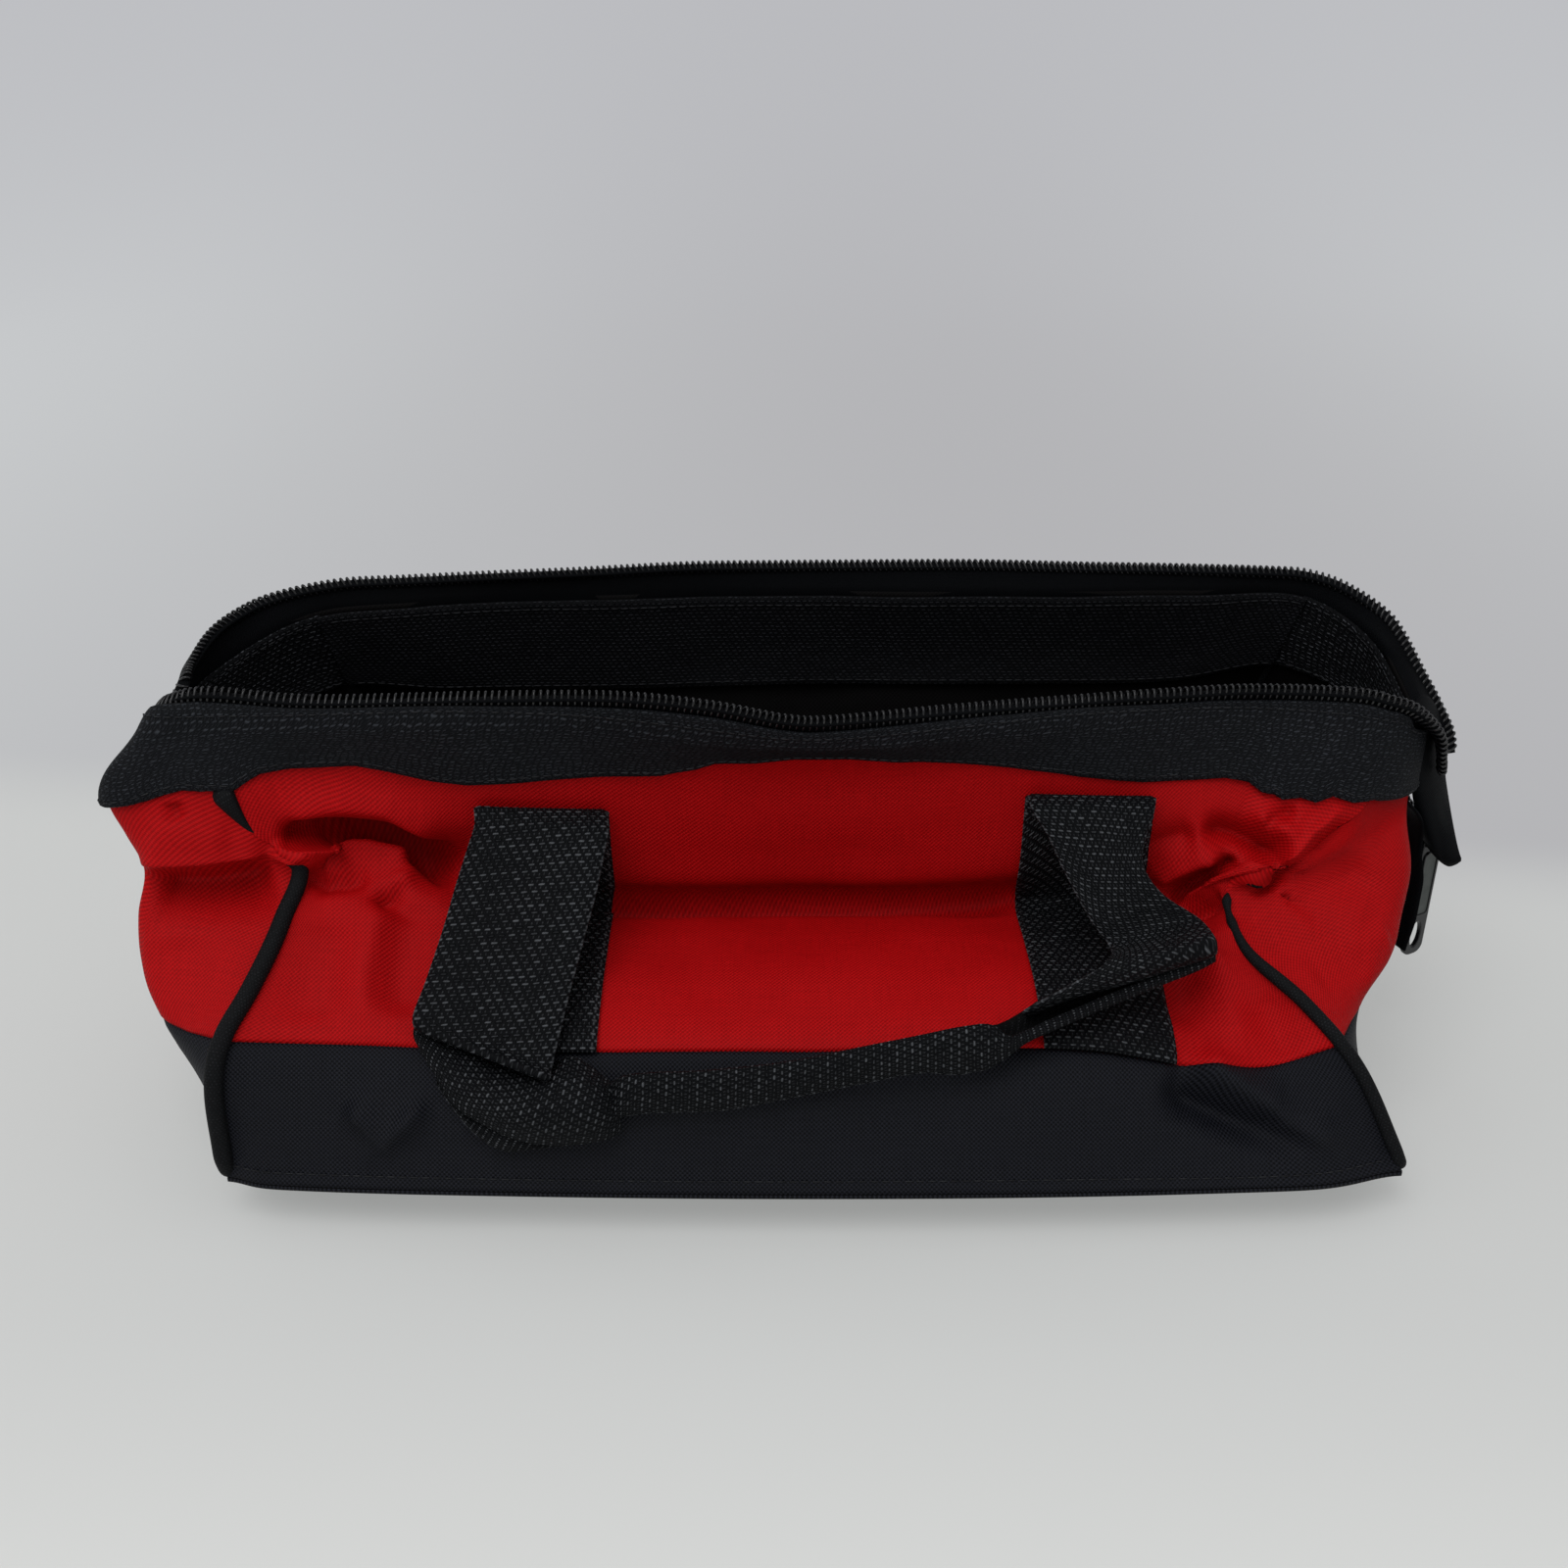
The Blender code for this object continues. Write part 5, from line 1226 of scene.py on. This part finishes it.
def build_slider(y):
    """The slider's two plates and hoop, its pull, and the clip that stops it."""
    low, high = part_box("zip_slider")
    z = (low[2] + high[2]) / 2
    x0 = low[0]
    # Local x is across the bag's depth, local y is up, local z points outwards
    frame_out = Matrix(((0, 0, 1, 0), (1, 0, 0, 0), (0, 1, 0, 0), (0, 0, 0, 1)))

    def placed(x, up):
        return Matrix.Translation((x, y, up)) @ frame_out

    shield = [(-0.0040, 0.0038), (-0.0030, 0.0050), (-0.0008, 0.0050), (0, 0.0036), (0.0008, 0.0050),
              (0.0030, 0.0050), (0.0040, 0.0038), (0.0036, 0), (0.0028, -0.0044), (0.0020, -0.0050),
              (-0.0020, -0.0050), (-0.0028, -0.0044), (-0.0036, 0)]
    bridge = rounded_ring(0.0016, 0.0046, 0.0006)
    slider = [plate("slider_top", [shield], 0.0012, 0.00035, placed(x0 + 0.0034, z), METAL_PAINTED_HIGHLIGHT),
              plate("slider_under", [shield], 0.0010, 0.0003, placed(x0 + 0.0005, z), METAL_PAINTED_HIGHLIGHT),
              plate("slider_bridge", [bridge], 0.0032, 0.0002, placed(x0 + 0.0020, z + 0.0020), METAL_PAINTED_HIGHLIGHT)]
    t = np.linspace(0, math.pi, 24)
    arch = np.stack([x0 + 0.0038 + 0.0044 * np.sin(t) ** 0.7, np.full(24, y), z + 0.0034 * np.cos(t)], 1)
    slider.append(tube("slider_hoop", arch, 0.0007, 12, METAL_PAINTED_HIGHLIGHT, (0, 1, 0), 1.6))
    for part in slider:
        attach(part, "slider")
    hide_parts("zip_slider")

    low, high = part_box("zip_pull")
    x, top, foot = (low[0] + high[0]) / 2, high[2], low[2]
    tall, wide = top - foot, 0.0086
    home = Matrix.Translation((x + 0.0019, y, (top + foot) / 2 - 0.0014))
    for angle, axis in PULL_TURNS:
        home = home @ Matrix.Rotation(math.radians(angle), 4, axis)
    home = home @ frame_out
    blade = rounded_ring(wide, tall, 0.0034)
    slot = rounded_ring(wide - 0.0044, 0.0050, 0.0016, centre=(0, tall / 2 - 0.0042))
    turns = np.linspace(0, math.tau, 49)[:-1]
    oval = [(0.0021 * math.cos(a), 0.0050 * math.sin(a) - tall / 2 + 0.0076) for a in turns]
    parts = [plate("pull_blade", [blade, slot, oval], 0.0017, 0.0004, home, PULL)]
    long = tall - 0.0255
    recess = rounded_ring(wide - 0.0036, long, 0.0012, centre=(0, 0.0030))
    rim = rounded_ring(wide - 0.0020, long + 0.0018, 0.0020, centre=(0, 0.0030))
    for k, side in enumerate((1, -1)):
        shift = Matrix.Translation((0, 0, side * 0.00092))
        parts.append(plate("pull_panel_%d" % k, [recess], 0.0003, 0.0001, home @ shift, RECESS))
        parts.append(plate("pull_rim_%d" % k, [rim, recess], 0.0009, 0.0003, home @ shift, PULL))
    for part in parts:
        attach(part, "pull")
    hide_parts("zip_pull")
    for part in slider + parts:
        part.data.polygons.foreach_set("use_smooth", np.full(len(part.data.polygons), False))

    low, high = map(np.array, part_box("zip_end_stop"))
    size = high - low
    home = Matrix.Translation(tuple((low + high) / 2)) @ frame_out
    obj = plate("end_stop_clip", [rounded_ring(size[1], size[2], 0.0007)], size[0], 0.0003, home, METAL_PAINTED_HIGHLIGHT)
    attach(obj, "bag")
    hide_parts("zip_end_stop")


# Straps and handles

HALVINGS = 26


def place_of_x(side, x, level):
    """The place on one wall whose x is the one asked for."""
    low = np.full(x.shape, CORNERS[side] + 0.05)
    high = np.full(x.shape, CORNERS[side + 1] - 0.05)
    rising = wall(high.flat[0], 3.0)[0] > wall(low.flat[0], 3.0)[0]
    for _ in range(HALVINGS):
        mid = (low + high) / 2
        less = (wall(mid, level)[..., 0] < x) == rising
        low, high = np.where(less, mid, low), np.where(less, high, mid)
    return (low + high) / 2


def strap_grid(side, x, top, lift, across=21, foot=0.985):
    """A strap's middle surface on the folded wall, from its foot up."""
    levels = np.linspace(foot, top, 110)
    turn = 1 if side == 0 else -1
    xs = x * HALF_SPAN + turn * np.linspace(-0.5, 0.5, across) * STRAP_WIDTH
    level, xx = np.meshgrid(levels, xs, indexing="ij")
    place = place_of_x(side, xx, level)
    return skin(place, level, lift + noise(wall(place, level), 0.018) * 0.25 * MM, 0.8)


def build_fixed_straps():
    """The webbing sewn flat to the wall under each handle end."""
    roots = {}
    for side, name, xs, tops in ((0, "front", STRAP_X_SHARES, STRAP_TOP_SHARES),
                                 (2, "rear", (-REAR_STRAP_X_SHARE, REAR_STRAP_X_SHARE), (5.45, 5.45))):
        for x, top, end in zip(xs, tops, ("left", "right")):
            grid = strap_grid(side, x, top, 1.5 * MM)
            obj = webbing("%s_strap_%s_web" % (name, end), grid, WEB, 0.0015)
            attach(obj, "bag")
            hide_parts("%s_strap_%s" % (name, end))
            roots[name, end] = grid
    return roots


# The free straps' slopes: y and z of a point, and the fall towards the front
LEFT_PLANE = (-0.0465, 0.0865, 0.98)
RIGHT_PLANE = (-0.0385, 0.0880, 1.12)


def slope_rows(plane, *rows):
    """Rows across a free strap, from pixels on its slope."""
    return [[on_slope(px, py, *plane) for px, py in row] for row in rows]


def deep_rows(*rows):
    """Rows whose points have their own distances, in millimetres to the rear."""
    return [[at(px, py, y * MM) for px, py, y in row] for row in rows]


def root_rows(grid, way):
    """The first rows of a handle's end, on the top of its fixed strap. way is the wall's outward direction."""
    return [[point + np.array((0, way * out, rise)) for point in grid[-1, ::5]]
            for rise, out in ((-0.006, 0.0014), (-0.002, 0.0014), (0.0012, 0.0022))]


def front_layers(roots):
    """The control rows of the front handle's layers, from its left root to its right one.
    Each row runs from the outer edge of the strap to its inner edge."""
    hang = root_rows(roots["front", "left"], -1) + slope_rows(
        LEFT_PLANE,
        ((484, 842), (519, 843), (553, 844), (588, 846), (621, 848)),
        ((478, 862), (514, 864), (549, 866), (583, 868), (617, 871)),
        ((466, 900), (502, 903), (538, 906), (574, 910), (608, 914)),
        ((452, 948), (488, 952), (524, 956), (562, 960), (595, 963)),
        ((434, 1002), (472, 1008), (508, 1014), (545, 1020), (579, 1024)),
        ((421, 1038), (460, 1053), (494, 1066), (530, 1079), (563, 1092)))
    hang += deep_rows(
        ((422, 1047, -86), (461, 1062, -90.5), (494, 1075, -94.5), (530, 1089, -97.5), (562, 1102, -99)),
        ((426, 1050, -82), (464, 1064, -86), (497, 1076, -90), (532, 1090, -93), (561, 1101, -94)),
        ((430, 1046, -80), (468, 1058, -83), (500, 1070, -87), (533, 1084, -90), (558, 1094, -91)))
    pouch = deep_rows(
        ((424, 1044, -83), (423, 1050, -84), (424, 1056, -85), (426, 1061, -86), (429, 1066, -87)),
        ((452, 1050, -80), (444, 1066, -87), (441, 1078, -91), (443, 1090, -93), (448, 1100, -93)),
        ((490, 1066, -82), (480, 1084, -91), (472, 1104, -97), (466, 1119, -98), (467, 1130, -97)),
        ((526, 1080, -84), (516, 1100, -95), (504, 1122, -102), (496, 1138, -102), (494, 1147, -100)),
        ((560, 1084, -86), (550, 1108, -98), (538, 1134, -105), (530, 1154, -105), (527, 1162, -102)),
        ((586, 1078, -90), (580, 1104, -100), (572, 1134, -106), (566, 1158, -106), (564, 1168, -103)),
        ((608, 1092, -94), (606, 1110, -101), (602, 1134, -106), (599, 1156, -106), (598, 1166, -104)),
        ((624, 1104, -97), (624, 1116, -100), (624, 1132, -102), (624, 1150, -103), (626, 1160, -102)),
        ((633, 1101, -97), (632, 1112, -98), (631, 1128, -100), (632, 1142, -101), (634, 1151, -101)))
    leaf = deep_rows(
        ((448, 1100, -90), (446, 1104, -91), (446, 1108, -92)),
        ((468, 1116, -92), (464, 1124, -95), (461, 1130, -97)),
        ((494, 1132, -95), (487, 1147, -99), (483, 1156, -101)),
        ((524, 1144, -98), (516, 1163, -102), (512, 1174, -102.5)),
        ((552, 1150, -99), (546, 1166, -102), (543, 1173, -102.5)),
        ((584, 1152, -99), (584, 1162, -101), (584, 1168, -101.5)))
    grip = deep_rows(
        ((618, 1146, -99), (619, 1136, -100), (620, 1112, -98), (619, 1126, -95), (618, 1140, -94)),
        ((634, 1140, -101), (634, 1124, -102.5), (635, 1101, -100), (635, 1122, -97), (634, 1140, -96)))
    for x, top, low, y in ((662, 1097, 1134, -101), (700, 1096, 1133, -100.5), (740, 1093, 1131, -100),
                           (780, 1089, 1124, -100), (820, 1083, 1116, -99.5), (880, 1071, 1104, -99),
                           (940, 1059, 1093, -98), (985, 1050, 1094, -97)):
        grip += deep_rows(((x, low, y - 1.4), (x, (top + low) / 2, y - 2.4), (x, top, y),
                           (x, (top + low) / 2, y + 2.4), (x, low + 2, y + 1.4)))
    grip += deep_rows(
        ((1010, 1090, -96.5), (1010, 1070, -97.5), (1012, 1049, -95), (1012, 1064, -92), (1010, 1082, -91)),
        ((1026, 1079, -95), (1026, 1069, -96), (1028, 1060, -95), (1027, 1066, -93), (1026, 1074, -92)))
    for x, low, y in ((1046, 1063, -93), (1072, 1051, -90), (1100, 1039, -87), (1123, 1029, -84), (1158, 1015, -80),
                      (1192, 1001, -76), (1222, 989, -73), (1239, 980, -71)):
        grip += deep_rows(((x, low, y), (x, low - 4, y - 0.5), (x, low - 8, y + 0.5), (x, low - 6, y + 2),
                           (x, low - 2, y + 2)))
    inside = []
    for x, low, high, y in ((1008, 1062, 1050, -96), (1030, 1068, 1040, -94), (1052, 1059, 1026, -91),
                            (1088, 1043, 1006, -87), (1122, 1029, 1000, -84), (1158, 1014, 990, -80),
                            (1192, 1000, 978, -77), (1222, 988, 972, -74), (1234, 982, 968, -72)):
        inside += deep_rows(((x, low - 5, y + 1.5), (x, low - 12, y + 7), (x, high, y + 11)))
    # The hanging strap on the right, from its lower edge up
    rope = deep_rows(
        ((1236, 968, -67), (1200, 982, -70), (1150, 997, -74), (1100, 1008, -77), (1050, 1028, -80)),
        ((1240, 974, -70), (1200, 986, -73), (1150, 1002, -77), (1102, 1014, -81), (1046, 1036, -84)),
        ((1242, 971, -73), (1202, 983, -77), (1152, 998, -81), (1104, 1010, -85), (1045, 1031, -87)),
        ((1242, 964, -73.5), (1204, 974, -77.5), (1158, 987, -81.5), (1118, 997, -85), (1084, 1010, -87)),
        ((1240, 957, -72.5), (1206, 966, -75.5), (1168, 975, -78.5), (1140, 981, -81), (1124, 986, -83)))
    rope += slope_rows(
        RIGHT_PLANE,
        ((1222, 936), (1200, 943), (1178, 951), (1156, 959), (1132, 966)),
        ((1186, 912), (1169, 918), (1149, 926), (1130, 934), (1112, 938)),
        ((1166, 880), (1150, 884), (1130, 888), (1106, 890), (1083, 884)),
        ((1170, 852), (1148, 853), (1124, 853), (1096, 854), (1069, 853)),
        ((1178, 828), (1149, 827), (1120, 826), (1084, 826), (1053, 826)))
    rope += [row[::-1] for row in root_rows(roots["front", "right"], -1)[::-1]]
    return hang, pouch, leaf, grip, rope, inside


def handle_mesh(name, rows, count, across=25, backwards=False, material=WEB):
    """One layer of a handle's webbing from its control rows."""
    grid = spline(rows, count)
    wide = np.swapaxes(spline(np.swapaxes(grid, 0, 1), across), 0, 1)
    settle(wide, 2)
    return webbing(name, wide, material, WEB_THICK, STRAP_WIDTH, backwards, True)


def merged(name, parts):
    """One object from several, which keeps their UVs and material."""
    bpy.ops.object.select_all(action="DESELECT")
    for part in parts:
        part.select_set(True)
    bpy.context.view_layer.objects.active = parts[0]
    bpy.ops.object.join()
    parts[0].name = parts[0].data.name = name
    return parts[0]


def rear_rows(roots):
    """The control rows of the rear handle, from the table of the part's source."""
    half = np.asarray(REAR_HANDLE_SHARES, float)
    table = np.concatenate([half, half[-2::-1] * (-1, 1, 1, -1, 1, 1, 1, 1)])
    table[REAR_RIGHT_ROW, 1] = REAR_RIGHT_Y
    centre = table[:, :3] * SIZE
    along = unit(np.gradient(centre, axis=0))
    rows = []
    for i in range(len(table)):
        across = unit(table[i, 3:6] - along[i] * table[i, 3:6].dot(along[i]))
        normal = np.cross(across, along[i])
        half = STRAP_WIDTH / 2 * table[i, 6]
        turn = table[i, 7] * math.pi / 2
        row = []
        for side in (-1, -0.5, 0, 0.5, 1):
            reach = abs(side) * half
            spread = math.copysign(reach * math.cos(turn) + WEB_THICK * math.sin(turn), side) if side else 0
            row.append(centre[i] + across * spread - normal * reach * math.sin(turn))
        rows.append(row)
    starts, ends = root_rows(roots["rear", "left"], 1), root_rows(roots["rear", "right"], 1)[::-1]
    if np.dot(rows[1][4] - rows[1][0], starts[0][4] - starts[0][0]) < 0:
        starts = [row[::-1] for row in starts]
    if np.dot(rows[-2][4] - rows[-2][0], ends[0][4] - ends[0][0]) < 0:
        ends = [row[::-1] for row in ends]
    return np.array(starts + rows[1:-1] + ends)


def build_handles(roots):
    """The two carry handles, whose webbing runs over the top of their fixed straps."""
    layers = []
    for k, (rows, count) in enumerate(zip(front_layers(roots), (150, 110, 70, 260, 170, 60))):
        # The last layer, the inside of the fold, takes the darker webbing as painted shade
        across, material = 25 if len(rows[0]) > 3 else 9, PAINTED_SHADE_WEB if k == 5 else WEB
        layers.append(handle_mesh("front_layer_%d" % k, np.array(rows), count, across, k == 4, material))
    front = merged("front_handle_web", layers)
    rear = handle_mesh("rear_handle_web", rear_rows(roots), 420)
    for obj, name, body, pivot, away in (
            (front, "front_handle", "front_carry_handle", (0.00217, -0.03898, 0.08909), (0.0544, -0.9985, 0)),
            (rear, "rear_handle", "rear_carry_handle", (-0.0002, 0.05771, 0.0935), (-0.0249, 0.9997, 0))):
        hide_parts(name)
        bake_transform(obj)


def build_stage():
    """The camera, the floor with its soft rear edge, and the light."""
    camera = bpy.data.cameras.new("camera")
    camera.lens, camera.sensor_width, camera.sensor_fit = 36, 36, "AUTO"
    camera.clip_start = 0.01
    holder = linked("camera", camera)
    holder.location = tuple(EYE)
    holder.rotation_euler = (math.pi / 2 - TIP, 0, 0)
    bpy.context.scene.camera = holder

    t = Tree(bpy.data.materials.new("table_top"))
    where = t.node("NewGeometry").outputs["Position"]
    x, y, _ = t.split(where)
    beyond = t.ramp(t.add(y, t.times(x, 0.14)), 0.10, 0.19)
    # The table's colour lightens from the bag towards the front: painted light
    near = t.ramp(y, -0.12, -0.42)
    base = t.mixed(near, (0.60, 0.605, 0.60), (0.86, 0.865, 0.835))
    t.finish(base, 0.6, t.noise(where, 60.0), 0.00005, 0.2, 0.2)
    # Beyond the table the camera sees a slightly darker room, with painted shade a little right of the middle that
    # lightens to the sides, and a flat grey further back
    far = t.ramp(t.maths("ABSOLUTE", t.add(x, -0.15)), 0.0, 1.1)
    low = t.mixed(far, (0.455, 0.455, 0.470), (0.590, 0.605, 0.615))
    room = t.mixed(t.ramp(y, 0.35, 3.4), low, (0.50, 0.505, 0.530))
    # The camera's even tone of the table lightens towards the front the same way, painted light
    table = t.mixed(near, (0.58, 0.59, 0.58), (0.84, 0.85, 0.82))
    glow = t.out("Emission", t.mixed(beyond, table, room))
    # Close to the bag half of what the camera sees of the table is its own even tone, so shadows stay pale
    even_share = t.fit(beyond, 0.50, 0.50)
    shader = t.tree.nodes["Principled BSDF"].outputs[0]
    both = t.out("MixShader", t.times(even_share, t.seen()), shader, glow)
    t.wire(both, t.tree.nodes["Material Output"].inputs["Surface"])
    size, wide = 3.0, 4.2
    profile = [(-size, 0), (1.2, 0), (1.9, 0.05), (2.5, 0.3), (2.9, 0.9), (size, 3.2)]
    fine = spline(np.array(profile), 60)
    points = [(side, y, z) for side in (-wide, wide) for y, z in fine]
    count = len(fine)
    faces = [(count + k, count + k + 1, k + 1, k) for k in range(count - 1)]
    floor = new_object("table_floor", points, faces, None, t.owner)

    world = bpy.data.worlds.new("soft_room")
    bpy.context.scene.world = world
    t = Tree(world)
    sky = t.tree.nodes["Background"]
    x, _, z = t.split(t.node("TexCoord").outputs["Generated"])
    light = t.fit(x, -0.24, t.out("MapRange", z, -0.1, 1.0, 0.38, 1.0))
    # What the camera itself sees beyond the floor is an even pale grey
    t.wire(t.mixed(t.seen(), light, 0.53, "FLOAT"), sky.inputs["Strength"])
    t.wire((0.98, 0.99, 1.0), sky.inputs["Color"])

    key = bpy.data.lights.new("key", "AREA")
    key.shape, key.size, key.energy = "DISK", 1.1, 10
    lamp = linked("key", key)
    lamp.location = (-0.35, -0.75, 1.5)
    aim = Vector((0, 0, 0.05)) - lamp.location
    lamp.rotation_euler = aim.to_track_quat("-Z", "Y").to_euler()
    bpy.context.scene.view_settings.view_transform = "Standard"


build_stage()
build_walls()
build_base()
build_stitches(build_bands())
build_piping()
build_zipper()
build_slider(build_tail())
build_handles(build_fixed_straps())
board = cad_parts["base_board"]
for slot in board.material_slots:
    slot.material = BOARD
if not board.material_slots:
    board.data.materials.append(BOARD)
